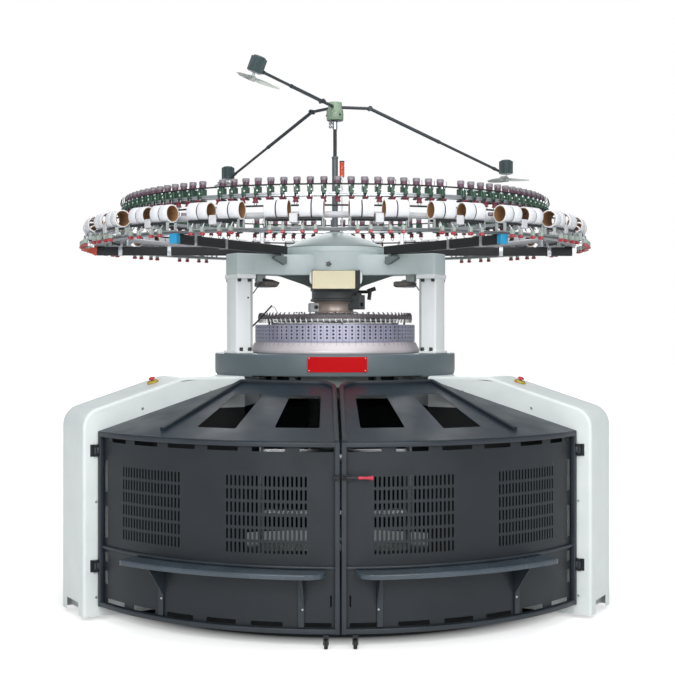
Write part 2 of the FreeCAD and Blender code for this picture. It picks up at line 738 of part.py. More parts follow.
def hinge_leaf(z):
    """The fixed leaf of the right door's hinge on the cover, with two ears and the pin."""
    pivot = hinge_point(z)
    low = z - KNUCKLE_HEIGHT / 2 - RUN_GAP - 14
    high = z + KNUCKLE_HEIGHT / 2 + RUN_GAP + 14
    pin = disc(8, HINGE_PIN_R, low, high)
    pin.translate(V(pivot.x, pivot.y, 0))
    half = LEG_WIDTH / 2
    local = FreeCAD.Rotation(V(0, 0, 1), -LEG_AZIMUTHS["right"]).multVec(pivot)
    u = -local.y
    plate = leg_box((u - 24, u + 24), (-half - 5, -half), (low, high))
    ears = [leg_box((u - KNUCKLE_R, u + KNUCKLE_R), (-half - HINGE_STAND - KNUCKLE_R, -half), (a, a + 14))
            for a in (low, high - 14)]
    return fused([turned(s, LEG_AZIMUTHS["right"]) for s in [plate] + ears] + [pin])


def latch_catch():
    """The catch on the left door's centre post."""
    front = -(DOOR_R + TUBE / 2 + RUN_GAP)
    return box((-DOOR_GAP / 2 - TUBE, -DOOR_GAP / 2 - 1), (front - 10, front),
               (LATCH_Z - 16, LATCH_Z + 16))


def latch_lever():
    """The latch lever of the right door with its grip."""
    front = -(DOOR_R + TUBE / 2 + RUN_GAP)
    start = DOOR_GAP / 2 + 1
    plate = box((start, start + 46), (front - 12, front), (LATCH_Z - 14, LATCH_Z + 14))
    arm = box((start + 40, start + 80), (front - 22, front - 10), (LATCH_Z - 6, LATCH_Z + 6))
    grip = x_prism(8, 10, start + 78, start + 150)
    grip.translate(V(0, front - 16, LATCH_Z))
    return fused([plate, arm, grip])


def caster_fork():
    """The fork of the right door's caster, with its head and axle."""
    head_top = DOOR_BOTTOM - RUN_GAP
    inner = CASTER_WHEEL_WIDTH / 2 + 1
    cheek = inner + 3
    profile = [V(0, -14, head_top - 4), V(0, 14, head_top - 4),
               V(0, CASTER_TRAIL + 8, CASTER_WHEEL_R - 6), V(0, CASTER_TRAIL - 8, CASTER_WHEEL_R - 6)]
    side = flat_face(profile).extrude(V(cheek - inner, 0, 0))
    left, right = side.copy(), side.copy()
    left.translate(V(-cheek, 0, 0))
    right.translate(V(inner, 0, 0))
    bridge = box((-cheek, cheek), (-14, 14), (head_top - 18, head_top - 4))
    head = disc(8, 16, head_top - 4, head_top)
    axle = x_prism(8, CASTER_AXLE_R, -cheek, cheek)
    axle.translate(V(0, CASTER_TRAIL, CASTER_WHEEL_R))
    fork = fused([left, right, bridge, head, axle])
    fork.translate(V(CASTER_AT, -DOOR_R, 0))
    return fork


def caster_wheel():
    """The wheel of the right door's caster."""
    half = CASTER_WHEEL_WIDTH / 2
    wheel = x_prism(16, CASTER_WHEEL_R, -half, half)
    wheel = wheel.cut(x_prism(8, bored_for(8, CASTER_AXLE_R), -half - 1, half + 1))
    wheel.translate(V(CASTER_AT, CASTER_TRAIL - DOOR_R, CASTER_WHEEL_R))
    return wheel


def rear_guard():
    """A fixed curved guard with a sloping hood, between the right leg and the rear leg."""
    side = math.degrees(math.asin((LEG_WIDTH / 2 - 6) / DOOR_R))
    a0 = LEG_AZIMUTHS["right"] + side
    a1 = LEG_AZIMUTHS["rear"] - side
    flats = 12
    sheet = arc_bar(DOOR_R - 4, DOOR_R, DOOR_BOTTOM, DOOR_TOP, a0, a1, flats)
    low = arc_points(DOOR_R, DOOR_TOP - 2, a0, a1, flats)
    inner_side = math.degrees(math.asin((LEG_WIDTH / 2 - 6) / HOOD_R))
    b0 = LEG_AZIMUTHS["right"] + inner_side
    b1 = LEG_AZIMUTHS["rear"] - inner_side
    high = arc_points(HOOD_R, hood_height(HOOD_R), b0, b1, flats)
    strips = []
    for i in range(flats):
        for triangle in ((low[i], low[i + 1], high[i + 1]), (low[i], high[i + 1], high[i])):
            strips.append(flat_face(triangle).extrude(V(0, 0, 4)))
    half = LEG_WIDTH / 2 + RUN_GAP
    covers = [turned(leg_box((0, 2000), (-half, half), (0, 1500)), LEG_AZIMUTHS[leg])
              for leg in ("right", "rear")]
    return fused([sheet] + strips).cut(Part.makeCompound(covers))


# ---------------------------------------------------------------- emergency stops


def on_slope(shape, azimuth):
    """Places a shape made at the origin, pointing up, on the sloping top of a leg cover."""
    placed = shape.copy()
    placed.rotate(V(0, 0, 0), V(1, 0, 0), COVER_SLOPE)
    placed.translate(V(0, -ESTOP_AT, slope_height(ESTOP_AT)))
    return turned(placed, azimuth)


def estop_base():
    """The yellow base, with a bore for the button's stem."""
    base = frustum(12, (ESTOP_R, RUN_GAP), (ESTOP_R - 5, ESTOP_BASE))
    return base.cut(disc(8, bored_for(8, ESTOP_STEM), -1, ESTOP_BASE + 1))


def estop_button():
    """The mushroom button and its stem."""
    cap_low = ESTOP_BASE + ESTOP_TRAVEL + 1
    stem = disc(8, ESTOP_STEM, ESTOP_TRAVEL + 1, cap_low)
    cap = frustum(12, (ESTOP_CAP, cap_low), (ESTOP_CAP - 5, cap_low + 13))
    return fused([stem, cap])


# ---------------------------------------------------------------- feeder ring


def beam_point(along, side, z):
    """A point along a support beam, in the frame of a crown arm that points to the front."""
    turn = math.radians(BEAM_TURN)
    u = BEAM_START + along * math.cos(turn)
    t = BEAM_OFFSET + along * math.sin(turn)
    return V(side * t, -u, z)


def beam_reach(r):
    """How far along a beam its axis comes to the radius r."""
    turn = math.radians(BEAM_TURN)
    b = BEAM_START * math.cos(turn) + BEAM_OFFSET * math.sin(turn)
    c = BEAM_START ** 2 + BEAM_OFFSET ** 2 - r ** 2
    return -b + math.sqrt(b * b - c)


def support_beam(side):
    """A box beam that lies on a crown arm and runs out to the rails."""
    z = BEAM_Z + BEAM_HEIGHT / 2
    return rod(beam_point(0, side, z), beam_point(BEAM_LENGTH, side, z), BEAM_WIDTH, BEAM_HEIGHT)


def beam_cap(side):
    """The end cap of a support beam."""
    z = BEAM_Z + BEAM_HEIGHT / 2
    return rod(beam_point(BEAM_LENGTH + 0.1, side, z), beam_point(BEAM_LENGTH + 34, side, z),
               BEAM_WIDTH + 4, BEAM_HEIGHT)


def ring_post(side, r, top):
    """A square post from a beam up to a rail."""
    foot = beam_point(beam_reach(r), side, 0)
    half = 13
    return box((foot.x - half, foot.x + half), (foot.y - half, foot.y + half),
               (BEAM_Z + BEAM_HEIGHT, top))


def rail(r, z, width):
    """A ring rail in segments of two chords each."""
    half = width / 2
    arc = 360 / RAIL_SEGMENTS
    joint = math.degrees(RUN_GAP / r)
    return [arc_bar(r - half, r + half, z, z + RAIL_HEIGHT, arc * k + joint, arc * (k + 1) - joint, 2)
            for k in range(RAIL_SEGMENTS)]


def feeder_azimuths():
    """The azimuths of the yarn feeders: a block of equal feeders in each 60 degrees."""
    block = FEEDER_COUNT // 6
    offsets = [FEEDER_TURN + FEEDER_PITCH * (i - (block - 1) / 2) for i in range(block)]
    return [60 * k + offset for k in range(6) for offset in offsets]


def feeder_housing():
    """The housing of a yarn feeder, standing on the rail."""
    z = FEEDER_RAIL_Z + RAIL_HEIGHT
    return leg_box((FEEDER_R - 20, FEEDER_R + 24), (-14, 14), (z, z + FEEDER_BODY))


def feeder_pulley():
    """The stacked drive pulley on top of a yarn feeder."""
    z = FEEDER_RAIL_Z + RAIL_HEIGHT + FEEDER_BODY
    pulley = frustum(4, (20, z), (27, z + FEEDER_CUP))
    pulley.rotate(V(0, 0, 0), V(0, 0, 1), 45)
    pulley.translate(V(0, -FEEDER_R, 0))
    return pulley


def pair_azimuths():
    """The azimuths of the pairs of elastane units."""
    return [UNIT_TURN + 360.0 / UNIT_PAIRS * (k + 0.5) for k in range(UNIT_PAIRS)]


def unit_azimuths():
    """The azimuths of the elastane units."""
    return [middle + side * UNIT_SPREAD / 2 for middle in pair_azimuths() for side in (-1, 1)]


def pair_cradle():
    """The roller cradle that a pair of elastane units shares."""
    z = PACKAGE_RAIL_Z + RAIL_HEIGHT
    rest = PACKAGE_Z - PACKAGE_OD / 2 * math.cos(math.pi / 8) - RUN_GAP
    half = PACKAGE_R * math.sin(math.radians(UNIT_SPREAD / 2)) + PACKAGE_LENGTH / 2
    return leg_box((PACKAGE_R - 42, PACKAGE_R + 42), (-half, half), (z, rest))


def yarn_packages():
    """The two yarn packages of a unit, side by side on their cores."""
    half = PACKAGE_LENGTH / 2
    flat = math.pi / 8
    outer = [V(-half, PACKAGE_OD / 2 * math.cos(flat * (2 * i + 1)),
               PACKAGE_OD / 2 * math.sin(flat * (2 * i + 1))) for i in range(8)]
    packages = flat_face(outer).extrude(V(2 * half, 0, 0))
    packages.translate(V(0, -PACKAGE_R, PACKAGE_Z))
    return packages


# ---------------------------------------------------------------- mast and fans


def mast():
    """The two telescoping tubes of the mast."""
    foot = CROWN_TOP + DOME_HEIGHT
    return [disc(12, MAST_R, foot, MAST_JOINT_Z),
            disc(8, MAST_SLIDE_R, MAST_JOINT_Z, FAN_HUB_BOTTOM + 60)]


def signal_lamp():
    """A round lamp on a thin pole beside the mast."""
    pole = disc(6, 6, CROWN_TOP + DOME_HEIGHT, 2439)
    lamp = disc(10, 15, 2439, 2534)
    shape = fused([pole, lamp])
    shape.translate(V(42, 0, 0))
    return shape


def fan_hub():
    """The turning hub on top of the mast: a drum, and a cap with a flat for each arm."""
    step = FAN_HUB_BOTTOM + FAN_HUB_DRUM
    hub = disc(12, FAN_HUB_R, FAN_HUB_BOTTOM, step)
    cap = disc(12, FAN_HUB_CAP_R, step, FAN_HUB_BOTTOM + FAN_HUB_HEIGHT, FAN_TIPS["front"][0] + 15)
    bore = disc(8, bored_for(8, MAST_SLIDE_R), FAN_HUB_BOTTOM - 1, FAN_HUB_BOTTOM + 60 + RUN_GAP)
    return fused([hub, cap]).cut(bore)


def fan_arm(azimuth, reach, z):
    """An arm: a short level stretch from the hub and a long one to the motor."""
    level = FAN_HUB_BOTTOM + FAN_HUB_DRUM + 15
    foot = z - MOTOR_FOOT
    elbow = polar(FAN_ELBOW_R, azimuth, level)
    start = polar(FAN_HUB_CAP_R * math.cos(math.radians(15)) + 0.6, azimuth, level)
    slope = math.atan2(abs(foot - level), reach - FAN_ELBOW_R - MOTOR_R)
    tip = polar(reach - MOTOR_R - RUN_GAP - FAN_ARM / 2 * math.sin(slope), azimuth, foot)
    socket = elbow + (tip - elbow) * 0.42
    return fused([rod(start, elbow, FAN_SLEEVE), rod(elbow - (tip - elbow) * 0.01, socket, FAN_SLEEVE),
                  rod(socket, tip, FAN_ARM)])


def at_tip(shape, azimuth, reach, z, tilt):
    """Places a shape made round the origin at the end of an arm, tilted sideways."""
    placed = shape.copy()
    placed.rotate(V(0, 0, 0), V(0, 1, 0), tilt)
    placed.translate(V(0, -reach, z))
    return turned(placed, azimuth)


def fan_motor():
    """A motor can with a short shaft below."""
    can = disc(12, MOTOR_R, -MOTOR_HEIGHT / 2, MOTOR_HEIGHT / 2)
    return fused([can, disc(6, 7, -MOTOR_HEIGHT / 2 - SHAFT_LENGTH, -MOTOR_HEIGHT / 2)])


def propeller():
    """Three pitched blades on a hub round the motor's shaft."""
    z = -MOTOR_HEIGHT / 2 - SHAFT_LENGTH + 2
    hub = disc(8, 18, z - 14, z + 17)
    blade = leg_box((10, PROPELLER_R), (-22, 22), (-1.5, 1.5))
    blade.rotate(V(0, 0, 0), V(0, 1, 0), 18)
    blade.translate(V(0, 0, z))
    body = fused([hub] + [turned(blade, 120 * k) for k in range(3)])
    return body.cut(disc(6, bored_for(6, 7), z - 2 - RUN_GAP, z + 21))


# ---------------------------------------------------------------- values worked out from the above

SADDLE_BORE = CYLINDER_R + 14
DRIVE_TOP = PLATE_BOTTOM - 7
DRIVE_HEIGHT = 42
HINGE_STAND = 14              # from the cover's side to the hinge axis
HOOD_SIDE = (43.5, 36.8)      # azimuths of the slanting border at its top and foot
HOOD_SIDE_R = 1485
HOOD_WINDOWS = (              # (r, azimuth, azimuth) of upper and lower edges
    ((940, 5.5, 15.5), (1392, 4.1, 13.3)),
    ((935, 25.2, 35.5), (1415, 21.3, 30.3)),
)
BEAM_Z = CROWN_ARM_BOTTOM + CROWN_ARM_HEIGHT
PACKAGE_RAIL_Z = BEAM_Z + BEAM_HEIGHT
NIP_OFFSET = NIP_R + NIP_NIP / 2
ROLL_PLACES = ((-NIP_OFFSET, NIP_Z), (NIP_OFFSET, NIP_Z), (0, FABRIC_Z))
ESTOP_AT = 1170
ESTOP_R = 33
ESTOP_BASE = 14
ESTOP_CAP = 19
ESTOP_STEM = 8
ESTOP_TRAVEL = 6


def build_lower():
    """Legs, covers, base plate, head and crown."""
    save("base_plate", base_plate())
    save("bearing_housing", bearing_housing())
    save("leg_castings", *[turned(leg_casting(), a) for a in LEG_AZIMUTHS.values()])
    for name, azimuth in LEG_AZIMUTHS.items():
        save(f"cover_{name}", turned(leg_cover(), azimuth))
    feet = [turned(f, a) for a in LEG_AZIMUTHS.values() for f in levelling_feet()]
    save("levelling_feet", *feet)
    save("columns", *[turned(column(), a) for a in LEG_AZIMUTHS.values()])
    save("crown", crown())
    save("crown_dome", frustum(HEAD_SIDES, (CROWN_R - 2, CROWN_TOP), (DOME_FLAT_R, CROWN_TOP + DOME_HEIGHT)))
    save("dial_drive", *dial_drive())
    save("upper_plate", upper_plate())
    save("lower_plate", lower_plate())
    save("work_lamps", *[turned(work_lamp(), a) for a in LEG_AZIMUTHS.values()])
    save("cam_boxes", *cam_boxes())
    save("saddle_ring", saddle_ring())
    save("yarn_guide_ring", *yarn_guide_ring())


def build_rotor():
    """The turning cylinder, dial and take-down."""
    save("needle_cylinder", needle_cylinder())
    save("drive_ring", drive_ring())
    save("takedown_frame", *takedown_frame())
    save("dial", dial())
    save("nip_roll_front", roll(NIP_R, 12, *ROLL_PLACES[0]))
    save("nip_roll_rear", roll(NIP_R, 12, *ROLL_PLACES[1]))
    save("fabric_shaft", roll(FABRIC_R, 8, *ROLL_PLACES[2]))


def build_doors():
    """Both front doors, their hinges, latch and casters, and the rear guards."""
    frame, panel, hood = door_frame(), door_panel(), door_hood()
    step = [door_step()] + [step_bracket(a) for a in BRACKET_AZIMUTHS]
    save("right_door_frame", frame)
    save("left_door_frame", mirrored(frame))
    save("right_door_sheet", panel)
    save("left_door_sheet", mirrored(panel))
    save("right_door_hood", hood)
    save("left_door_hood", mirrored(hood))
    save("right_door_step", *step)
    save("left_door_step", *[mirrored(s) for s in step])
    leaves = [hinge_leaf(z) for z in HINGE_HEIGHTS]
    save("hinge_leaves", *(leaves + [mirrored(s) for s in leaves]))
    save("latch_catch", latch_catch())
    save("latch_lever", latch_lever())
    fork, wheel = caster_fork(), caster_wheel()
    save("right_caster_fork", fork)
    save("left_caster_fork", mirrored(fork))
    save("right_caster_wheel", wheel)
    save("left_caster_wheel", mirrored(wheel))
    guard = rear_guard()
    save("rear_guard_right", guard)
    save("rear_guard_left", mirrored(guard))


def build_stops():
    """The emergency stops on the two front covers."""
    save("estop_bases", *[on_slope(estop_base(), LEG_AZIMUTHS[s]) for s in ("left", "right")])
    for side in ("left", "right"):
        save(f"estop_button_{side}", on_slope(estop_button(), LEG_AZIMUTHS[side]))


def build_ring():
    """The support beams, rails, yarn feeders and elastane units."""
    arms = LEG_AZIMUTHS.values()
    beams = [turned(support_beam(s), a) for a in arms for s in (-1, 1)]
    beams += [turned(beam_cap(1), LEG_AZIMUTHS["left"]), turned(beam_cap(-1), LEG_AZIMUTHS["right"])]
    save("ring_beams", *beams)
    posts = [turned(ring_post(s, FEEDER_R, FEEDER_RAIL_Z), a) for a in arms for s in (-1, 1)]
    save("ring_posts", *posts)
    save("ring_rails", *(rail(FEEDER_R, FEEDER_RAIL_Z, 50) + rail(PACKAGE_R - 45, PACKAGE_RAIL_Z, 60)))
    save("feeder_housings", *[turned(feeder_housing(), a) for a in feeder_azimuths()])
    save("feeder_pulleys", *[turned(feeder_pulley(), a) for a in feeder_azimuths()])
    save("package_cradles", *[turned(pair_cradle(), a) for a in pair_azimuths()])
    save("yarn_packages", *[turned(yarn_packages(), a) for a in unit_azimuths()])


def build_top():
    """The mast, signal lamp and fans."""
    save("mast", *mast())
    save("signal_lamp", signal_lamp())
    save("fan_hub", fan_hub())
    save("fan_arms", *[fan_arm(a, reach, z) for a, reach, z, tilt in FAN_TIPS.values()])
    save("fan_motors", *[at_tip(fan_motor(), *tip) for tip in FAN_TIPS.values()])
    for name, tip in FAN_TIPS.items():
        save(f"propeller_{name}", at_tip(propeller(), *tip))


os.makedirs("parts", exist_ok=True)
build_lower()
build_rotor()
build_doors()
build_stops()
build_ring()
build_top()
hinge = hinge_point(0)
print("hinge axis of the right door", round(hinge.x, 3), round(hinge.y, 3))
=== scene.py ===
# %% [markdown]
# # An industrial circular knitting machine
# A knitting machine of this kind stands on three covered legs. Curved guard doors close the front, a
# knitting head with a cylinder and a dial turns in the middle, and a wide ring above it carries the yarn
# feeders and the elastane rollers. A mast with a turning three-armed fan keeps lint off the yarn.
#
# The imported CAD model comes first, as a fixed frame of bodies and nodes. Every piece below is placed with
# the same numbers as the CAD, so nothing has to be fitted by eye.

# %% Load the frame
import math
import bpy
import numpy as np
import mathutils.geometry
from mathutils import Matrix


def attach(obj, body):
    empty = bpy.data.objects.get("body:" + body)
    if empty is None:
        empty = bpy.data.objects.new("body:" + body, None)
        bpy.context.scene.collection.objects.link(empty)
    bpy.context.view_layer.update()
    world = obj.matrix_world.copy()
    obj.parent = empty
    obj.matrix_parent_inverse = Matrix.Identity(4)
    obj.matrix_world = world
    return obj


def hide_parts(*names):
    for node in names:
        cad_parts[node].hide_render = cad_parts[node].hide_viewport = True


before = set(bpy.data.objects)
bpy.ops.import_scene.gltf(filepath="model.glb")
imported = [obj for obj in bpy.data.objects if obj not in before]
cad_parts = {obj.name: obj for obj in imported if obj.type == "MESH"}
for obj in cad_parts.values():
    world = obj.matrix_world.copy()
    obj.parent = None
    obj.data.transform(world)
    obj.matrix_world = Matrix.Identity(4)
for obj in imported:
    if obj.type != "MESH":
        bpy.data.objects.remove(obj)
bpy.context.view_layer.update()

# %% [markdown]
# ## The camera
# The photograph is taken from about seven and a half metres, with the lens at eye height and held level,
# so that upright posts stay upright. One pixel at the machine's axis is six millimetres: a long lens gives
# that flat, catalogue look. The small shifts put the machine's axis and the horizon where the picture has
# them, which is better than tilting the camera, because a tilt would make the columns lean.

# %% Camera
PICTURE = (675, 676)
FOCAL_PIXELS, AXIS_PIXEL, HORIZON_PIXEL = 1242.0, 335.0, 330.0


def linked(name, data):
    """A new object with this data, in the scene."""
    thing = bpy.data.objects.new(name, data)
    bpy.context.scene.collection.objects.link(thing)
    return thing


view = bpy.data.cameras.new("catalogue_view")
view.lens = FOCAL_PIXELS / max(PICTURE) * view.sensor_width
view.shift_x = (PICTURE[0] / 2 - AXIS_PIXEL) / max(PICTURE)
view.shift_y = (HORIZON_PIXEL - PICTURE[1] / 2) / max(PICTURE)
camera = linked("catalogue_camera", view)
camera.location = (-0.130, -7.449, 1.520)
camera.rotation_euler = (math.radians(90), 0, math.radians(-1.0))
bpy.context.scene.camera = camera
print("lens", round(view.lens, 1), "mm")

# %% [markdown]
# ## Light and floor
# The machine stands in a bright studio: the light is soft and comes from above and from both sides, and
# everything behind the machine is white. Large area lamps near the camera and a grey world give that. The
# white comes only from how the floor and the world look to the camera, to gloss and through clear plastic,
# so it adds no light of its own and the paint keeps its written colour. The floor still darkens where the
# machine keeps light off it, which sets the machine on the ground. Under the machine the floor's colour is
# a dark grey, a painted shade, so that its inside looks deep through the grilles and the windows.

# %% Colours and one way to add a node
def linear(code):
    """The linear colour of an sRGB hex code: each channel c becomes ((c + 0.055) / 1.055) ** 2.4."""
    channels = [int(code[i:i + 2], 16) / 255 for i in (1, 3, 5)]
    return (*[c / 12.92 if c < 0.04045 else ((c + 0.055) / 1.055) ** 2.4 for c in channels], 1.0)


def add(tree, kind, inputs=None, **settings):
    """Adds one node. Settings are its properties; an input is a value, or another node's output to link."""
    node = tree.nodes.new(kind)
    for name, value in settings.items():
        setattr(node, name, value)
    for name, value in (inputs or {}).items():
        socket = node.inputs[name]
        if isinstance(value, bpy.types.NodeSocket):
            tree.links.new(value, socket)
        else:
            socket.default_value = value
    return node


def emptied(owner):
    """The node tree of a material or a world, with its first nodes taken out."""
    owner.use_nodes = True
    owner.node_tree.nodes.clear()
    return owner.node_tree


# %% World and floor
world = bpy.data.worlds.new("studio")
bpy.context.scene.world = world
tree = emptied(world)
path = add(tree, "ShaderNodeLightPath")
seen = add(tree, "ShaderNodeMath", {0: path.outputs["Is Camera Ray"], 1: path.outputs["Is Transmission Ray"]},
           operation="MAXIMUM")
fill = add(tree, "ShaderNodeBackground", {"Color": linear("#e6eaee"), "Strength": 0.46})
white = add(tree, "ShaderNodeBackground", {"Color": (1, 1, 1, 1), "Strength": 1.0})
glossy = add(tree, "ShaderNodeBackground", {"Color": linear("#e6ebf0"), "Strength": 0.55})
first = add(tree, "ShaderNodeMixShader", {0: path.outputs["Is Glossy Ray"], 1: fill.outputs[0],
                                          2: glossy.outputs[0]})
both = add(tree, "ShaderNodeMixShader", {0: seen.outputs[0], 1: first.outputs[0], 2: white.outputs[0]})
add(tree, "ShaderNodeOutputWorld", {"Surface": both.outputs[0]})

floor_material = bpy.data.materials.new("studio_floor")
tree = emptied(floor_material)
path = add(tree, "ShaderNodeLightPath")
geometry = add(tree, "ShaderNodeNewGeometry")
speckle = add(tree, "ShaderNodeTexNoise", {"Vector": geometry.outputs["Position"], "Scale": 0.6})
tone = add(tree, "ShaderNodeMix", {0: speckle.outputs["Fac"], 6: linear("#f0f0ef"), 7: linear("#f6f6f6")},
           data_type="RGBA")
apart = add(tree, "ShaderNodeSeparateXYZ", {0: geometry.outputs["Position"]})
shrunk = add(tree, "ShaderNodeMath", {0: apart.outputs[1], 1: 0.45}, operation="MULTIPLY")
nearer = add(tree, "ShaderNodeMath", {0: apart.outputs[1], 1: shrunk.outputs[0]}, operation="MINIMUM")
flat = add(tree, "ShaderNodeCombineXYZ", {0: apart.outputs[0], 1: nearer.outputs[0]})
far = add(tree, "ShaderNodeVectorMath", {0: flat.outputs[0]}, operation="LENGTH")
beyond_painted_shade = add(tree, "ShaderNodeMapRange", {"Value": far.outputs["Value"], "From Min": 1.30, "From Max": 1.48})
# within about 1.3 m of the axis, and further out behind it, the floor's colour fades to dark grey: a painted
# shade under the machine
floor_colour_with_painted_shade = add(tree, "ShaderNodeMix", {0: beyond_painted_shade.outputs[0], 6: linear("#3c3e40"), 7: tone.outputs[2]},
             data_type="RGBA")
matt = add(tree, "ShaderNodeBsdfPrincipled", {"Base Color": floor_colour_with_painted_shade.outputs[2], "Roughness": 0.7})
near_glow = add(tree, "ShaderNodeMath", {0: beyond_painted_shade.outputs[0], 1: 0.55}, operation="MULTIPLY")
far_glow = add(tree, "ShaderNodeMapRange", {"Value": far.outputs["Value"], "From Min": 2.6, "From Max": 5.5,
                                            "To Min": 0.0, "To Max": 0.6})
strength = add(tree, "ShaderNodeMath", {0: near_glow.outputs[0], 1: far_glow.outputs[0]}, operation="ADD")
glow = add(tree, "ShaderNodeEmission", {"Color": (1, 1, 1, 1), "Strength": strength.outputs[0]})
gloss = add(tree, "ShaderNodeMath", {0: path.outputs["Is Glossy Ray"], 1: 0.35}, operation="MULTIPLY")
clear = add(tree, "ShaderNodeMath", {0: path.outputs["Is Camera Ray"],
                                     1: path.outputs["Is Transmission Ray"]}, operation="MAXIMUM")
seen = add(tree, "ShaderNodeMath", {0: clear.outputs[0], 1: gloss.outputs[0]}, operation="MAXIMUM")
shown = add(tree, "ShaderNodeAddShader", {0: matt.outputs[0], 1: glow.outputs[0]})
mixed = add(tree, "ShaderNodeMixShader", {0: seen.outputs[0], 1: matt.outputs[0], 2: shown.outputs[0]})
add(tree, "ShaderNodeOutputMaterial", {"Surface": mixed.outputs[0]})

floor_mesh = bpy.data.meshes.new("floor")
floor_mesh.from_pydata([(-40, -40, 0), (40, -40, 0), (40, 40, 0), (-40, 40, 0)], [], [(0, 1, 2, 3)])
floor_mesh.materials.append(floor_material)
floor = linked("floor", floor_mesh)


# %% Lamps
def lamp(name, place, target, size, watts):
    """An area lamp at a place, turned so that its -Z axis runs to the target."""
    data = bpy.data.lights.new(name, "AREA")
    data.size, data.energy = size, watts
    holder = linked(name, data)
    holder.location = place
    aim = np.array(target, float) - np.array(place, float)
    yaw, pitch = math.atan2(aim[0], -aim[1]), math.atan2(math.hypot(aim[0], aim[1]), -aim[2])
    holder.rotation_euler = (-pitch, 0, yaw)


lamp("overhead", (0.3, -2.0, 6.5), (0, 0, 1.0), 5.0, 150)
lamp("left_softbox", (-2.6, -8.8, 3.9), (0, 0, 1.2), 3.5, 245)
lamp("right_softbox", (2.8, -8.8, 3.9), (0, 0, 1.2), 3.5, 235)
lamp("rear_softbox", (0.0, 6.0, 4.0), (0, 0, 1.4), 4.0, 150)

# %% [markdown]
# ## Surfaces from formulas
# Sheet, castings, tubes and rolls are all simple surfaces: a profile turned about an axis, or a section
# carried along a path. numpy works out all their points at once, which is fast, and the same few helpers
# serve the whole machine. A shape here is a pair: its points in millimetres and its faces as rows of point
# numbers, with -1 where a row is shorter than the longest. Each helper gives a closed shape, and the
# signed volume of each tells whether its faces point outwards, so none is left inside out.

# %% Shapes as arrays
def stacked(*tables):
    """Face tables one under another, each filled up with -1 to the widest."""
    width = max(t.shape[1] for t in tables)
    return np.concatenate([np.pad(t, ((0, 0), (0, width - t.shape[1])), constant_values=-1) for t in tables])


def joined(*shapes):
    """One shape from several: points stacked, and each shape's face numbers moved on by those before it."""
    starts = np.cumsum([0] + [len(points) for points, _ in shapes])
    faces = [np.where(f >= 0, f + start, -1) for (_, f), start in zip(shapes, starts)]
    return np.concatenate([points for points, _ in shapes]), stacked(*faces)


def outward(shape):
    """The shape with its faces turned outwards: the volume under all its fan triangles must be positive."""
    points, faces = shape
    centred = points - points.mean(0)
    volume = 0.0
    for k in range(1, faces.shape[1] - 1):
        rows = faces[faces[:, k + 1] >= 0]
        a, b, c = (centred[rows[:, i]] for i in (0, k, k + 1))
        volume += np.einsum("ij,ij->", a, np.cross(b, c))
    if volume >= 0:
        return shape
    count = (faces >= 0).sum(1)[:, None]
    order = np.arange(faces.shape[1])[None, :]
    return points, np.take_along_axis(faces, np.where(order < count, count - 1 - order, order), 1)


def net(grid, along=False, around=False):
    """The faces of a grid of points (n, m, 3): each cell is a square, and closed directions wrap round."""
    n, m = grid.shape[:2]
    i, j = np.meshgrid(np.arange(n if along else n - 1), np.arange(m if around else m - 1), indexing="ij")
    i2, j2 = (i + 1) % n, (j + 1) % m
    faces = np.stack([i * m + j, i * m + j2, i2 * m + j2, i2 * m + j], -1).reshape(-1, 4)
    return grid.reshape(-1, 3), faces


def capped(grid):
    """A net of closed rings, whose first and last ring are each closed by one flat face."""
    n, m = grid.shape[:2]
    points, sides = net(grid, around=True)
    return outward((points, stacked(sides, np.stack([np.arange(m)[::-1], np.arange(m) + (n - 1) * m]))))


def polar(r, azimuth, z):
    """Points at a radius, an azimuth in degrees and a height: (r sin a, -r cos a, z)."""
    a = np.radians(azimuth)
    return np.stack(np.broadcast_arrays(r * np.sin(a), -r * np.cos(a), z), -1).astype(float)


def turned(shape, azimuth):
    """The shape turned about Z: azimuth 0 faces the front, -Y, and grows towards +X."""
    a = math.radians(azimuth)
    spin = np.array([[math.cos(a), -math.sin(a), 0], [math.sin(a), math.cos(a), 0], [0, 0, 1]])
    return shape[0] @ spin.T, shape[1]


def repeated(shape, azimuths):
    """Copies of a shape turned to each azimuth, as one shape."""
    a = np.radians(np.asarray(azimuths, float))
    spin = np.zeros((len(a), 3, 3))
    spin[:, 0, 0] = spin[:, 1, 1] = np.cos(a)
    spin[:, 1, 0], spin[:, 0, 1], spin[:, 2, 2] = np.sin(a), -np.sin(a), 1
    points = np.einsum("kij,nj->kni", spin, shape[0]).reshape(-1, 3)
    step = len(shape[0]) * np.arange(len(a))[:, None, None]
    return points, np.where(shape[1] >= 0, shape[1] + step, -1).reshape(-1, shape[1].shape[1])


def moved(shape, x=0.0, y=0.0, z=0.0):
    """The shape moved by x, y and z."""
    return shape[0] + np.array([x, y, z]), shape[1]


def faced(shape, order=(0, 1, 2), signs=(1, 1, 1)):
    """The shape with its axes taken in another order and signs, and its faces turned outwards again."""
    return outward((shape[0][:, list(order)] * signs, shape[1]))


def mirrored(shape):
    """The shape with x changed to -x."""
    return faced(shape, signs=(-1, 1, 1))


def sideways(shape):
    """A shape turned so that its +Z points outwards to the front: (x, y, z) becomes (x, -z, y)."""
    return faced(shape, (0, 2, 1), (1, -1, 1))


def lengthwise(shape):
    """A shape round Z laid along X: (x, y, z) becomes (z, y, x)."""
    return faced(shape, (2, 1, 0))


def across(shape):
    """A shape whose +Z points along X, with its y kept upright: (x, y, z) becomes (z, x, y)."""
    return faced(shape, (2, 0, 1))


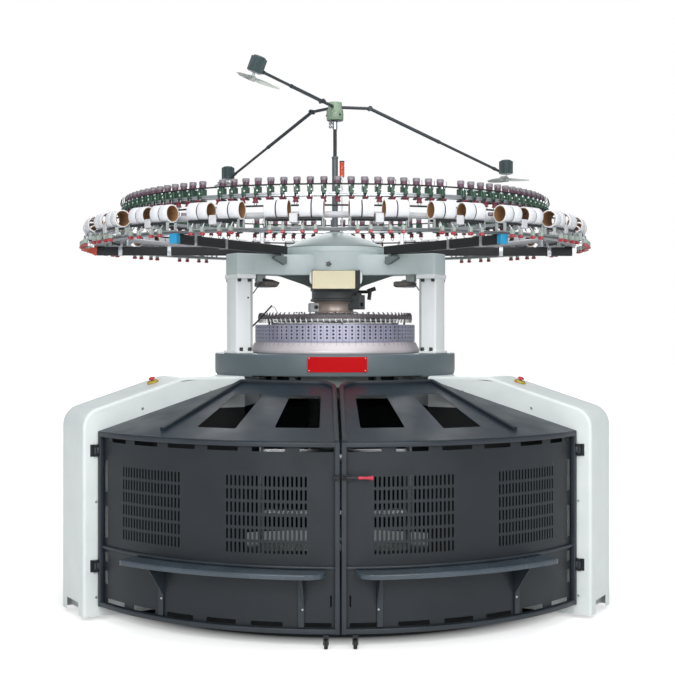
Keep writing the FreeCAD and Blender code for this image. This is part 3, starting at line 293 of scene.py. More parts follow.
# %% Sections and solids
def rounded(width, height, radius, steps=3):
    """A rectangle whose corners are quarter circles, as points (u, v) in order."""
    a = np.radians(np.linspace(0, 90, steps + 1))
    quarter = np.stack([np.cos(a), np.sin(a)], -1) * radius
    corners = []
    for k, (su, sv) in enumerate(((1, 1), (-1, 1), (-1, -1), (1, -1))):
        c, s = (1, 0, -1, 0)[k], (0, 1, 0, -1)[k]
        spin = np.array([[c, -s], [s, c]])
        corners.append(quarter @ spin.T + [su * (width / 2 - radius), sv * (height / 2 - radius)])
    return np.concatenate(corners)


def circle(radius, steps=8):
    """A circle as points (u, v)."""
    a = np.radians(np.arange(steps) * 360 / steps)
    return np.stack([np.cos(a), np.sin(a)], -1) * radius


def carried(path, section, up=(0, 0, 1), closed=False):
    """A section (u, v) carried along a path: point (i, j) is path_i + u_j side_i + v_j lift_i. Side is the
    direction across the path and up, drawn out at a bend by one over the cosine of half its angle."""
    path, section = np.asarray(path, float), np.asarray(section, float)
    legs = np.diff(path, axis=0, append=path[:1] if closed else 2 * path[-1:] - path[-2:-1])
    legs /= np.linalg.norm(legs, axis=1, keepdims=True)
    before = np.roll(legs, 1, 0)
    if not closed:
        before[0] = legs[0]
    ahead = legs + before
    ahead /= np.linalg.norm(ahead, axis=1, keepdims=True)
    side = np.cross(ahead, up)
    side /= np.linalg.norm(side, axis=1, keepdims=True)
    lift = np.cross(side, ahead)
    wide = side / np.clip((ahead * legs).sum(1, keepdims=True), 0.5, 1)
    grid = path[:, None] + section[None, :, :1] * wide[:, None] + section[None, :, 1:] * lift[:, None]
    return outward(net(grid, True, True)) if closed else capped(grid)


def spun(profile, steps=48):
    """A solid of rings: each (r, z) of the profile is a circle, and the first and last are closed flat."""
    r, z = np.array(profile, float).T
    return capped(polar(r[:, None], np.arange(steps)[None, :] * 360 / steps, z[:, None]))


def ring(profile, steps=128):
    """A closed (r, z) outline turned right round Z."""
    r, z = np.array(profile, float).T
    return outward(net(polar(r[None, :], np.arange(steps)[:, None] * 360 / steps, z[None, :]), True, True))


def block(low, high, chamfer=1.0):
    """A box with chamfered edges: four rings of eight points, the outer two drawn in by the chamfer."""
    low, high = np.array(low, float), np.array(high, float)
    middle, half = (low + high) / 2, (high - low) / 2
    c = min(chamfer, half.min() * 0.9)

    def octagon(inset):
        x, y, k = half[0] - inset, half[1] - inset, c * 0.8
        return [(x, y - k), (x - k, y), (k - x, y), (-x, y - k),
                (-x, k - y), (k - x, -y), (x - k, -y), (x, k - y)]
    top = half[2]
    rows = [(c, -top), (0, c - top), (0, top - c), (c, top)]
    return capped(np.array([[(x, y, z) for x, y in octagon(inset)] for inset, z in rows]) + middle)


def arc_bar(inner, outer, z0, z1, a0, a1, steps=24, chamfer=1.0):
    """A bar bent round the axis: a chamfered rectangle (r, z) carried from azimuth a0 to a1."""
    c = chamfer
    section = np.array([(inner + c, z0), (outer - c, z0), (outer, z0 + c), (outer, z1 - c), (outer - c, z1),
                        (inner + c, z1), (inner, z1 - c), (inner, z0 + c)])
    a = np.linspace(a0, a1, steps + 1)[:, None]
    return capped(polar(section[None, :, 0], a, section[None, :, 1]))


def raised(outline, low, high, order=(0, 1, 2)):
    """A flat outline (u, v) with a thickness from low to high along w; order says which of u, v and w is x,
    y and z."""
    outline = np.asarray(outline, float)
    return capped(np.stack([np.column_stack([outline, np.full(len(outline), float(w))])[:, list(order)]
                            for w in (low, high)]))


def side_slab(outline, t0, t1):
    """An upright outline (u, z), u outwards to the front, given a thickness from t0 to t1 across."""
    return raised(np.asarray(outline, float) * [-1, 1], t0, t1, (2, 0, 1))


def pierced(front, back, solid):
    """A sheet with openings: two grids of points (n, m, 3) a wall apart. A solid cell (n - 1, m - 1) has a
    face on both grids, and every edge between a solid and an open cell has a wall between the two."""
    n, m = front.shape[:2]
    index = np.arange(n * m).reshape(n, m)
    i, j = np.nonzero(solid)
    top = np.stack([index[i, j], index[i, j + 1], index[i + 1, j + 1], index[i + 1, j]], -1)
    tables = [top, top[:, ::-1] + n * m]
    edged = np.pad(solid, 1).astype(int)
    across = edged[1:, 1:-1] - edged[:-1, 1:-1]
    for sign in (1, -1):
        i, j = np.nonzero(across == sign)
        wall = np.stack([index[i, j], index[i, j + 1], index[i, j + 1] + n * m, index[i, j] + n * m], -1)
        tables.append(wall[:, ::-sign])
    along = edged[1:-1, 1:] - edged[1:-1, :-1]
    for sign in (1, -1):
        i, j = np.nonzero(along == sign)
        wall = np.stack([index[i, j], index[i + 1, j], index[i + 1, j] + n * m, index[i, j] + n * m], -1)
        tables.append(wall[:, ::sign])
    return outward((np.concatenate([front.reshape(-1, 3), back.reshape(-1, 3)]), np.concatenate(tables)))


# %% From arrays to an object
def piece(name, shape, material, body="frame", stands_for=(), sharp=40, bevel=0.0):
    """An object from a shape: millimetres become metres, and edges over the sharp angle stay crisp."""
    points, faces = shape
    used = faces >= 0
    count = used.sum(1)
    mesh = bpy.data.meshes.new(name)
    mesh.vertices.add(len(points))
    mesh.vertices.foreach_set("co", (points * 0.001).astype(np.float32).ravel())
    mesh.loops.add(int(count.sum()))
    mesh.loops.foreach_set("vertex_index", faces[used].astype(np.int32))
    mesh.polygons.add(len(faces))
    mesh.polygons.foreach_set("loop_start", np.concatenate([[0], np.cumsum(count)[:-1]]).astype(np.int32))
    mesh.update(calc_edges=True)
    mesh.validate()
    mesh.shade_smooth()
    mesh.set_sharp_from_angle(angle=math.radians(sharp))
    mesh.materials.append(material)
    thing = linked(name, mesh)
    if bevel:
        edge = thing.modifiers.new("edge", "BEVEL")
        edge.width, edge.segments, edge.limit_method = bevel * 0.001, 2, "ANGLE"
        edge.angle_limit, edge.harden_normals = math.radians(35), True
    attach(thing, body)
    if stands_for:
        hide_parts(*stands_for)
    print(f"{name}: {len(points)} points, {len(faces)} faces")
    return thing

# %% [markdown]
# ## Finishes
# Almost everything on this machine is metal under paint. Powder coat on sheet has a fine orange-peel skin,
# enamel on a casting lies over the sand's grain, and bare parts show the marks of the tool that cut them.
# Each finish below starts from what the real surface is, and its pattern's scale comes from a real size.
# Noise at one scale moves the colour and the roughness a little, and a finer one lifts the surface as a
# bump. Both read Object coordinates, so the pattern stays on the part from every side.

# %% A painted, cast or moulded skin
def skin(name, colour, shade, roughness, grain, relief, metallic=0.0, coat=0.0, stretch=(1, 1, 1),
         spread=0.08, patch=160, ior=1.5):
    """A surface finish. Colour and shade mix by a noise whose patches are patch mm wide; a noise of grain mm
    gives the bump, with relief as its height in mm; roughness varies by spread with the patches."""
    material = bpy.data.materials.new(name)
    tree = emptied(material)
    place = add(tree, "ShaderNodeTexCoord")
    drawn = add(tree, "ShaderNodeMapping", {"Vector": place.outputs["Object"], "Scale": stretch})
    wide = add(tree, "ShaderNodeTexNoise", {"Vector": drawn.outputs[0], "Scale": 1000 / patch, "Detail": 3.0})
    fine = add(tree, "ShaderNodeTexNoise", {"Vector": drawn.outputs[0], "Scale": 1000 / grain, "Detail": 2.0})
    spot = add(tree, "ShaderNodeMapRange", {"Value": wide.outputs["Fac"], "From Min": 0.3, "From Max": 0.7})
    tone = add(tree, "ShaderNodeMix", {0: spot.outputs[0], 6: linear(colour), 7: linear(shade)},
               data_type="RGBA")
    worn = add(tree, "ShaderNodeMapRange", {"Value": wide.outputs["Fac"], "From Min": 0.3, "From Max": 0.7,
                                            "To Min": roughness - spread, "To Max": roughness + spread})
    lift = add(tree, "ShaderNodeBump", {"Height": fine.outputs["Fac"], "Distance": relief * 0.001,
                                        "Strength": 0.6})
    body = add(tree, "ShaderNodeBsdfPrincipled", {
        "Base Color": tone.outputs[2], "Roughness": worn.outputs[0], "Normal": lift.outputs[0],
        "Metallic": metallic, "Coat Weight": coat, "Coat Roughness": 0.15})
    if metallic == 0:
        body.inputs["IOR"].default_value = ior
    add(tree, "ShaderNodeOutputMaterial", {"Surface": body.outputs[0]})
    return material


# %% The machine's paints
# powder coat on sheet steel: slate grey, an even orange-peel of about 3 mm that softens the highlights
door_coat = skin("powder_coat_slate", "#20262a", "#262b30", 0.42, 3.0, 0.10, ior=1.4)
# the hoods have the doors' coat, painted bluer and a little lighter as a painted reflection of the light they
# face up into, and a little glossier
hood_coat_painted_reflection = skin("powder_coat_slate_hood", "#222b34", "#29343d", 0.36, 3.0, 0.10, ior=1.4)
# the same coat on drawn tube, smoother, so the tube's round edges catch a bright line; its colour is painted
# a little lighter than the doors' sheet, a painted highlight
tube_coat_painted_highlight = skin("powder_coat_tube", "#262e34", "#2e363d", 0.36, 4.0, 0.05, ior=1.45)
# textured powder coat on the treads, rough as fine sandpaper so that shoes grip
tread_coat = skin("textured_powder_coat", "#3d474f", "#48525b", 0.25, 2.2, 0.3)
# off-white powder coat on the leg covers: smooth and half glossy, a soft sheen on the folds
cover_coat = skin("powder_coat_off_white", "#e3e9e8", "#e9efed", 0.38, 3.5, 0.06, spread=0.04)
# enamel over a machined casting: grey-green, with the casting's grain just felt under the paint
drum_enamel = skin("casting_enamel_grey_green", "#59666b", "#5f6c71", 0.38, 5.0, 0.12)
# lighter enamel on the crown casting
crown_enamel = skin("casting_enamel_light_grey", "#c0cdcd", "#c8d4d4", 0.40, 5.0, 0.12)
# the underside of the crown is painted darker than the band: a painted shade where it faces down, away from
# the lamps
hull_enamel_painted_shade = skin("casting_enamel_hull", "#6b7674", "#747f7d", 0.44, 5.0, 0.15)
# the dome over the crown: a grey enamel, lighter than the hull's and darker than the band's
dome_enamel = skin("casting_enamel_dome", "#8b9796", "#929e9d", 0.42, 5.0, 0.12)
# white enamel on the columns
column_enamel = skin("enamel_white", "#e8ecec", "#eff2f2", 0.34, 4.0, 0.06, spread=0.04)
# plain grey-green enamel on the leg castings and the housing under the drum, rough from the sand mould
casting_enamel = skin("rough_casting_enamel", "#a3aaa8", "#b0b6b4", 0.55, 6.0, 0.45)
# dark grey coat on the rear guards and the fan's arms, duller than the doors'
guard_coat = skin("powder_coat_guard", "#2f353a", "#353b41", 0.46, 3.0, 0.10)
# black powder coat on beams, brackets and rollers
black_coat = skin("powder_coat_black", "#0f1012", "#16181a", 0.48, 3.0, 0.08)
# middle grey enamel on the cap and gear case over the dial, whose turned edges show as thin bright lines
dark_enamel = skin("enamel_dark_grey", "#505355", "#5a5d5f", 0.42, 4.0, 0.15)

# %% Bare metal, plastic and rubber
# turned steel: fine rings round the axis, drawn as streaks 20 times longer than high, coarser than real ones
turned_steel = skin("turned_steel", "#b9babb", "#a9aaab", 0.28, 1.5, 0.03, metallic=1.0,
                    stretch=(0.05, 0.05, 1))
# ground and hardened cam steel with a faint lilac heat tint
cam_steel = skin("ground_cam_steel", "#a09fb4", "#aeadbf", 0.42, 2.0, 0.03, metallic=0.55)
# the dial's sleeve is bare steel under warm brown oil
sleeve_steel = skin("oiled_steel_sleeve", "#c3b2a8", "#d0c2b9", 0.42, 2.0, 0.03, metallic=0.4,
                    stretch=(0.1, 0.1, 1))
# zinc-plated bolts, pins and rods
zinc = skin("zinc_plate", "#c4c8cb", "#b4b8bc", 0.32, 2.0, 0.03, metallic=1.0)
# extruded aluminium rails and posts, drawn lengthwise
aluminium = skin("extruded_aluminium", "#c9cccf", "#bcc0c3", 0.34, 2.5, 0.03, metallic=0.85)
# blackened steel of screws, forks, hooks and levers: dark, with a soft metallic edge
black_steel = skin("blackened_steel", "#222427", "#2e3033", 0.38, 2.0, 0.05, metallic=0.4)
# wheel rubber, matt and slightly dusty
rubber = skin("black_rubber", "#1d1d1e", "#2a2a2b", 0.75, 1.5, 0.1)
# smooth cream enamel on a plate, glossier than the coats round it
cream_enamel = skin("cream_enamel", "#efe3bd", "#f2e8c8", 0.30, 4.0, 0.03, spread=0.03)
# thin matt lacquer over a printed plate: little surface shine, so the red stays deep
red_enamel = skin("red_enamel", "#cb0a14", "#c10811", 0.55, 4.0, 0.03, spread=0.03, ior=1.2)
# moulded nylon: glossy red for the mushrooms, a duller yellow for their bases
stop_red = skin("moulded_red_nylon", "#c92222", "#c01a1a", 0.35, 3.0, 0.04, coat=0.2)
stop_yellow = skin("moulded_yellow_nylon", "#b89f3c", "#ae9534", 0.42, 3.0, 0.04)
# off-white moulded housings with the fine grain of a mould
housing_white = skin("moulded_housing_white", "#c9cacd", "#d3d4d8", 0.42, 3.0, 0.05)
# the latch's grip, softer and pinker than the stops
grip_red = skin("moulded_red_grip", "#c8394c", "#bd2f42", 0.40, 3.0, 0.06)
for material in (turned_steel, cam_steel, zinc):
    print(material.name, "nodes", len(material.node_tree.nodes))

# %% [markdown]
# ## Leg covers
# Each leg is a casting under a folded sheet cover. The cover has a flat roof that meets the machine, a long
# slope for the emergency stop, and a generous radius down to an end wall. What makes it look like folded
# sheet and not a block is the soft fold along each long edge, and the highlight that runs along it. So the
# outline is worked out once, with its corner as an arc, and carried across the leg: over the first and last
# few millimetres of the width the outline is drawn in along a quarter circle, which is the fold.

# %% The cover's outline and its shell
LEGS = {"left": -60, "right": 60, "rear": 180}
REACH, HALF_WIDTH, ROOF, ROOF_REACH, SLOPE = 1630, 168, 1262, 1060, math.radians(17)
HOOD_FOOT, HOOD_FOOT_Z, HOOD_SLOPE = 1564.5, 987.3, math.radians(16.7)


def at_legs(shape):
    """A shape made for the front, repeated at the three legs."""
    return repeated(shape, list(LEGS.values()))


def hood_height(r):
    """The height of the hood's underside at a radius: it rises inwards at 16.7 degrees."""
    return HOOD_FOOT_Z + (HOOD_FOOT - r) * math.tan(HOOD_SLOPE)


def cover_outline(inset, inner=690.0, lift=20.0):
    """The outline (u, z) from the inner roof end to the foot of the end wall, moved in by inset: the roof,
    the slope, the arc between slope and wall of radius 110 less inset, and the wall."""
    end, roof, radius = REACH - inset, ROOF - inset, 110 - inset
    bend = ROOF_REACH - inset * math.tan(SLOPE / 2)
    run = radius * math.tan((math.pi / 2 - SLOPE) / 2)
    corner = roof - (end - bend) * math.tan(SLOPE)
    a = np.linspace(math.pi / 2 - SLOPE, 0, 12)
    arc = np.stack([end - radius + radius * np.cos(a), corner - run + radius * np.sin(a)], -1)
    roof_line = np.stack([np.linspace(inner, bend - 25, 5), np.full(5, roof)], -1)
    soft = np.array([(bend - 10, roof - 0.7), (bend + 12, roof - 3.8)])
    wall = np.array([(end, 700.0), (end, 400.0), (end, lift + 66), (end, lift)])
    return np.concatenate([roof_line, soft, arc, wall])


def cover_shell(fold=16.0, sheet=2.0):
    """The cover as a sheet, one row of points for each place t across. The fold is a quarter circle: at its
    angle a, t is the half width less fold (1 - sin a) and the outline is drawn in by fold (1 - cos a). The
    inner layer is the same with the radius fold - sheet about the same centre."""
    a = np.radians(np.linspace(0, 90, 7))

    def layer(radius):
        t = np.concatenate([[0, 90], HALF_WIDTH - fold + radius * np.sin(a)])
        inset = np.concatenate([[fold - radius] * 2, fold - radius * np.cos(a)])
        t, inset = np.concatenate([-t[:0:-1], t]), np.concatenate([inset[:0:-1], inset])
        outlines = [cover_outline(drawn) for drawn in inset]
        return np.stack([np.column_stack([np.full(len(o), x), -o[:, 0], o[:, 1]])
                         for x, o in zip(t, outlines)]), t
    (outer, t), (inner, _) = layer(fold), layer(fold - sheet)
    solid = np.ones((outer.shape[0] - 1, outer.shape[1] - 1), bool)
    solid[np.abs(t[1:] + t[:-1]) < 180, -1] = False
    return pierced(outer, inner, solid)


def cover_side(fold=16.0, sheet=2.0, lift=20.0, doors=1470.0):
    """One side wall under the fold's inner outline, as columns along u with four heights: the outline, a
    border, 100 and the foot. The border is at 1090, or 40 under the doors' hood where that is lower. Inside
    the doors a black panel takes the white sheet's place between the border and 100: a painted shade for the
    machine's dark inside behind the grilles."""
    o = cover_outline(fold)
    rising = np.concatenate([[True], np.diff(o[:, 0]) > 0.01])
    u = np.array(sorted({*np.linspace(690, doors, 9), *o[rising & (o[:, 0] > doors), 0]}))
    top = np.interp(u, o[rising, 0], o[rising, 1])
    border = np.minimum(1090, hood_height(np.hypot(u, HALF_WIDTH)) - 40)
    z = np.stack([top, border, np.full(len(u), 100.0), np.full(len(u), lift)], -1)
    layers = [np.stack([np.full_like(z, t), -np.repeat(u[:, None], 4, 1), z], -1)
              for t in (HALF_WIDTH, HALF_WIDTH - sheet)]
    white = np.ones((len(u) - 1, 3), bool)
    white[:, 1] = u[1:] > doors + 1
    return pierced(*layers, white), pierced(*layers, ~white)


def paired(shape):
    """A shape and its mirror image."""
    return joined(shape, mirrored(shape))


# the black inner panel stands in the white sheet's place inside the doors: a painted shade
side, painted_shade_panel = cover_side()
shell = joined(cover_shell(), paired(side))
print("cover shell", len(shell[0]), "points")

# %% [markdown]
# Each side wall is held by four screws with low heads, and the end wall has a notch at the floor.

# %% Covers with their screws
screw = spun([(7.5, 0), (7.5, 1.2), (6.6, 2.0), (3.0, 2.0), (2.6, 1.0)], 12)
screws = joined(*[moved(across(screw), HALF_WIDTH - 0.5, -u, z)
                  for u, z in ((1560, 120), (1560, 620), (900, 1180), (1300, 1100))])
for name, azimuth in LEGS.items():
    piece(f"cover_{name}_sheet", turned(shell, azimuth), cover_coat, stands_for=(f"cover_{name}",), sharp=50)
    piece(f"cover_{name}_painted_shade_panels", turned(paired(painted_shade_panel), azimuth), black_coat)
piece("cover_screws", at_legs(paired(screws)), zinc)

# %% [markdown]
# ## Emergency stops
# A stop is a round yellow base with a red mushroom on a stem, tilted with the slope that it stands on. The
# mushroom turns to release, so its crown has a shallow dish. Each is turned from a profile, because the
# real ones are turned and moulded round.

# %% Stops on the slopes
STOP_REACH = 1170


def on_slope(shape, azimuth):
    """A shape made upright at the origin, tilted by the slope and set on the cover at u = STOP_REACH."""
    c, s = math.cos(SLOPE), math.sin(SLOPE)
    tilt = np.array([[1, 0, 0], [0, c, -s], [0, s, c]])
    height = ROOF - (STOP_REACH - ROOF_REACH) * math.tan(SLOPE)
    return turned((shape[0] @ tilt.T + [0, -STOP_REACH, height], shape[1]), azimuth)


stop_base = ring([(8.4, 0.4), (31, 0.4), (33, 2), (32.4, 8), (30, 12.5), (27.5, 13.8), (23, 14), (22.2, 12.8),
                  (21, 12.8), (20, 14), (8.4, 14)], 48)
mushroom = spun([(7.6, 7), (7.6, 21), (15, 21.2), (18.6, 22.6), (19, 25), (18.2, 28.6), (15.5, 31.6),
                 (11.5, 33.4), (9.0, 33.9), (7.0, 33.2), (4.0, 32.8), (1.0, 32.7)], 40)
piece("stop_bases", joined(*[on_slope(stop_base, LEGS[side]) for side in ("left", "right")]), stop_yellow,
      stands_for=("estop_bases",))
for side in ("left", "right"):
    piece(f"stop_mushroom_{side}", on_slope(mushroom, LEGS[side]), stop_red, f"estop_{side}",
          stands_for=(f"estop_button_{side}",))

# %% [markdown]
# ## Castings under the covers
# The leg castings and their feet are hardly seen, but they show through the windows. Their CAD shape is
# right, so they stay, and only get the rough enamel of a casting.

# %% CAD nodes that keep their shape
def refinish(node, material):
    """Puts a finish in every material slot of a CAD node."""
    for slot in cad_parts[node].material_slots:
        slot.material = material


for node in ("leg_castings", "levelling_feet", "takedown_frame"):
    refinish(node, casting_enamel)
for node in ("drive_ring", "nip_roll_front", "nip_roll_rear", "fabric_shaft"):
    refinish(node, turned_steel)

# %% [markdown]
# ## The drum that carries the head
# The base plate is a heavy casting, turned on a large lathe: a drum with rounded edges and a skirt, over
# three pads on the legs. Under it a housing with dark windows holds the big bearing. Both are bodies of
# revolution, so a closed profile turned about the axis gives them, with small radii drawn into the profile.

# %% Drum, pads and housing
drum = ring([(396, 1290), (699, 1290), (699, 1266), (709, 1265), (713.5, 1267), (715, 1272), (715, 1377),
             (713.5, 1382), (709, 1385), (703, 1386), (396, 1386)], 192)
pads = at_legs(arc_bar(560, 712, 1257, 1292, -18, 18, 24, 5.0))
piece("drum_casting", joined(drum, pads), drum_enamel, stands_for=("base_plate",))


def housing_wall(outer=546.0, inner=512.0, low=1200.0, high=1290.0):
    """The housing as a pierced wall: azimuth lines at the windows' edges and between, four height lines."""
    windows = [(start + 120 * k, start + 120 * k + span) for k in range(3)
               for start, span in ((308.27, 9.46), (319.3, 11.6), (335.2, 3.4), (18.88, 5.24),
                                   (27.19, 12.62))]
    edges = [edge % 360 for pair in windows for edge in pair]
    lines = sorted({*edges, *(np.arange(0, 360, 5.0) + 0.7)})
    lines = np.array(lines + [lines[0] + 360])
    z = np.array([low, 1233.0, 1257.5, high])
    solid = np.ones((len(lines) - 1, 3), bool)
    middle = (lines[1:] + lines[:-1]) / 2
    for a, b in windows:
        solid[(middle % 360 > a % 360) & (middle % 360 < b % 360), 1] = False
    return pierced(*[polar(r, lines[:, None], z[None, :]) for r in (outer, inner)], solid)


lip = ring([(494, 1200), (541, 1200), (541, 1207), (494, 1207)], 128)
piece("bearing_housing_wall", joined(housing_wall(), lip), casting_enamel, stands_for=("bearing_housing",))
# the bearing race in blackened steel, set just behind the housing's windows so that they read dark: partly
# the race, partly a painted shade for the housing's inside
race_as_painted_shade = ring([(496, 1230), (508, 1230), (508, 1286), (496, 1286)], 96)
piece("bearing_race", race_as_painted_shade, black_steel)

# %% [markdown]
# ## Saddle ring and cams
# On the drum sits the honed saddle ring, a low cone, and on that the cam sectors: 84 upright
# plates side by side, each with a column of dark adjusting holes. A hole is best modelled as a hole, because
# its rim catches light; each plate is a pierced sheet whose cell corners are pulled in, so that a square
# opening becomes round. One plate is made and turned 84 times.

# %% Saddle ring
saddle = ring([(396, 1386), (504, 1386), (506.5, 1388), (507, 1391), (507, 1402), (505.5, 1405), (480, 1447),
               (477, 1448.6), (396, 1448.6)], 192)
# honed and oiled steel: half of it reads as metal and half as a pale film, so it shines softly without images
honed_steel = skin("honed_saddle_steel", "#cdc5c9", "#d8d2d4", 0.46, 1.5, 0.03, metallic=0.4)
piece("saddle_ring_turned", saddle, honed_steel, stands_for=("saddle_ring",))
SYSTEMS = 84
PITCH = 360 / SYSTEMS
slope_mark = block((-0.6, -485.8, 1432), (0.6, -480, 1446), 0.2)
slope_mark = (slope_mark[0] + (slope_mark[0][:, 2:] - 1439) * [0, 0.61, 0], slope_mark[1])
piece("saddle_marks", repeated(slope_mark, np.arange(SYSTEMS) * PITCH), dark_enamel)


# %% Cam plates
def cam_plate(width, low, high, holes, radius, front, back):
    """A plate with a column of round holes: the lines of the grid are the plate's edges and four lines for
    each hole, at -r, -0.41 r, 0.41 r and r; the four corners of a hole move to 0.74 r."""
    near = np.array([-1.0, -0.41, 0.41, 1.0]) * radius
    x = np.concatenate([[-width / 2], near, [width / 2]])
    z = np.concatenate([[low], *[hole + near for hole in holes], [high]])
    gx, gz = np.meshgrid(x, z, indexing="ij")
    solid = np.ones((len(x) - 1, len(z) - 1), bool)
    for k in range(len(holes)):
        solid[1:4, 1 + 4 * k:4 + 4 * k] = False
        for i in (1, 4):
            for j in (1 + 4 * k, 4 + 4 * k):
                gx[i, j] *= 0.74
                gz[i, j] = holes[k] + (gz[i, j] - holes[k]) * 0.74
    return pierced(*[np.stack([gx, np.full_like(gx, -r), gz], -1) for r in (front, back)], solid)


SYSTEMS_AT = (np.arange(SYSTEMS) + 0.5) * PITCH
CAM_R = 477
plate_width = 2 * CAM_R * math.tan(math.radians(PITCH / 2)) - 1.6
one_plate = cam_plate(plate_width, 1457, 1551, (1475, 1495.5, 1516, 1536.5), 6.1, CAM_R, CAM_R - 6)
foot_plate = block((-plate_width / 2, 1 - CAM_R, 1449), (plate_width / 2, 6 - CAM_R, 1456.4), 0.8)
piece("cam_plates", repeated(joined(one_plate, foot_plate), SYSTEMS_AT), cam_steel,
      stands_for=("cam_boxes",), sharp=30)
core = ring([(385, 1449), (469.5, 1449), (469.5, 1549), (466, 1551), (385, 1551)], 128)
piece("cam_core", core, black_steel)

# %% [markdown]
# ## Cylinder, dial and yarn guides
# The needle cylinder turns inside the cams, and the dial turns with it a hair above. Needles are too fine to
# show one by one from here, so 360 stand for all of them, four times as coarse as the real gauge. Over the
# cams a ring carries a dark steel yarn guide for each system, bent down to a white ceramic eye.

# %% Turning cylinder and dial
tube = ring([(345, 1250), (379, 1250), (381, 1252), (381, 1556), (379.5, 1558), (346.5, 1558),
             (345, 1556)], 160)
needle = block((-0.7, -380.4, 1556), (0.7, -378.8, 1563.5), 0.25)
needles = repeated(needle, np.arange(360))
piece("cylinder_tube", tube, turned_steel, "cylinder", stands_for=("needle_cylinder",))
piece("cylinder_needles", needles, zinc, "cylinder")
disc = spun([(30, 1566), (340, 1566), (364, 1568), (368, 1572), (368, 1580), (364, 1584), (330, 1586),
             (31, 1586), (30, 1587), (30, 1689)], 128)
piece("dial_disc", disc, turned_steel, "dial", stands_for=("dial",))

# %% Yarn guides
guide_ring = ring([(440, 1585), (457, 1585), (459, 1587), (459, 1601), (457, 1603), (441, 1603), (439, 1601),
                   (439, 1587)], 160)
post = moved(spun([(6, 1551), (6, 1585.5)], 12), 0, -445)
posts = repeated(post, 360 / 42 / 2 + 60 * np.arange(6))
# spring steel, oiled brown by tempering
guide_steel = skin("tempered_guide_steel", "#565053", "#655e61", 0.42, 2.0, 0.03, metallic=0.3)
piece("guide_ring", joined(guide_ring, posts), guide_steel, stands_for=("yarn_guide_ring",))
arm = carried([(0, -448, 1620), (1, -453, 1617), (4, -458, 1605), (8, -459, 1592), (11, -458, 1583)],
              rounded(4.0, 9, 1.4, 1), up=(1, 0, 0.2))
nut = moved(spun([(4.2, 1603), (4.2, 1609), (3.2, 1611)], 6), 0, -450)
piece("yarn_guides", repeated(joined(arm, nut), SYSTEMS_AT), guide_steel)
# glazed aluminium oxide eyes: white, glossy, so the yarn runs without wear
ceramic = skin("glazed_ceramic", "#f4f3f0", "#ecebe7", 0.22, 6.0, 0.01, spread=0.03)
eye = carried([(11, -458, 1585), (13, -457, 1574), (16, -455, 1564)], circle(3.4, 8), up=(1, 0, 0.3))
piece("guide_eyes", repeated(eye, SYSTEMS_AT), ceramic)

# %% [markdown]
# ## Dial drive
# The cap, the sleeve and the gear case above the dial stand still. They are lathe work, with small flanges.
# On the sleeve sit a small grey box with a knob and a larger dark one, and a black clamp handle stands out
# from the gear case.

# %% Cap, sleeve and gear case
cap = spun([(32, 1590), (352, 1590), (358, 1592), (360, 1596), (360, 1604), (357, 1609), (350, 1611),
            (200, 1616), (140, 1620), (112, 1621)], 128)
sleeve = spun([(118, 1617), (118, 1627), (113, 1630), (111, 1634), (111, 1672), (116, 1679), (126, 1684),
               (132, 1690)], 96)
case = spun([(137, 1689), (145, 1690), (147, 1693), (147, 1703), (143, 1706), (139, 1709), (139, 1748),
             (143, 1752), (147, 1755), (147, 1766), (144, 1768)], 96)
piece("dial_cap", cap, dark_enamel, stands_for=("dial_drive",))
piece("dial_sleeve", sleeve, sleeve_steel)
piece("dial_gear_case", case, dark_enamel)
piece("sleeve_box", turned(block((-26, -160, 1628), (26, -108, 1681), 2.5), -74), housing_white)
dark_box = joined(block((-34, -186, 1642), (34, -106, 1728), 3.0),
                  moved(spun([(20, 1728), (20, 1736), (17, 1739), (8, 1742)], 16), 0, -158))
piece("gear_case_box", turned(dark_box, 60), dark_enamel)
knob = sideways(spun([(9, 0), (11, 1.5), (11, 9), (9, 11), (5, 11.6)], 20))
knobs = joined(turned(moved(knob, -127, -26, 1656), 16), turned(moved(knob, -14, -186, 1672), 60))
bolts = repeated(moved(spun([(6, 1620), (6, 1625), (4.6, 1627)], 6), 0, -230), np.arange(12) * 30)
piece("dial_drive_knobs", joined(knobs, bolts), black_steel)

# %% [markdown]
# ## Columns
# Three white box columns carry the crown. Each stands on a thick foot held by black cap screws, and its long
# edges are rounded like a rolled section. The section is carried straight up, which keeps the faces flat and
# gives the edges a real radius to catch the light. The left one holds a thin probe over the needles.

# %% Columns and their screws
def column():
    """The upright section with its foot and its head plate."""
    shaft = carried([(0, -637, 1386), (0, -637, 1838)], rounded(125, 106, 7, 3), up=(0, -1, 0))
    foot = block((-82.5, -698, 1386), (82.5, -592, 1401), 2.5)
    head = block((-82, -692, 1812), (82, -574, 1838), 3.0)
    return joined(shaft, foot, head)


piece("column_boxes", at_legs(column()), column_enamel, stands_for=("columns",))
cap_screw = spun([(10, 0), (10, 18), (9, 20), (5, 20), (4.6, 12)], 12)
feet = [moved(cap_screw, x, y, 1401) for x in (-73.5, 73.5) for y in (-664, -610)]
heads = [(s[0] * [1, 1, -0.8] + [0, 0, 1812 + 0.8 * 1401], s[1]) for s in
         [moved(cap_screw, x, y, 1401) for x in (-73, 73) for y in (-676, -612)]]
piece("column_screws", at_legs(joined(*feet, outward(joined(*heads)))), black_steel)
# a grey strip on each column's side stands for the shade in a narrow channel there: a painted shade
piece("column_seams", at_legs(paired(block((61.8, -600, 1402), (63.0, -586, 1811), 0.4))), casting_enamel)
probe = joined(carried([(-488, -338, 1532), (-452, -346, 1566), (-366, -362, 1660)], circle(4.5, 8)),
               carried([(-374, -360, 1650), (-352, -364, 1652), (-330, -366, 1610)], circle(1.6, 6)))
piece("needle_probe", probe, black_steel)
plug = across(spun([(5, 0), (5, 2.5), (3.8, 3.2)], 10))
piece("column_plugs", at_legs(moved(plug, 62.3, -616, 1705)), black_steel)

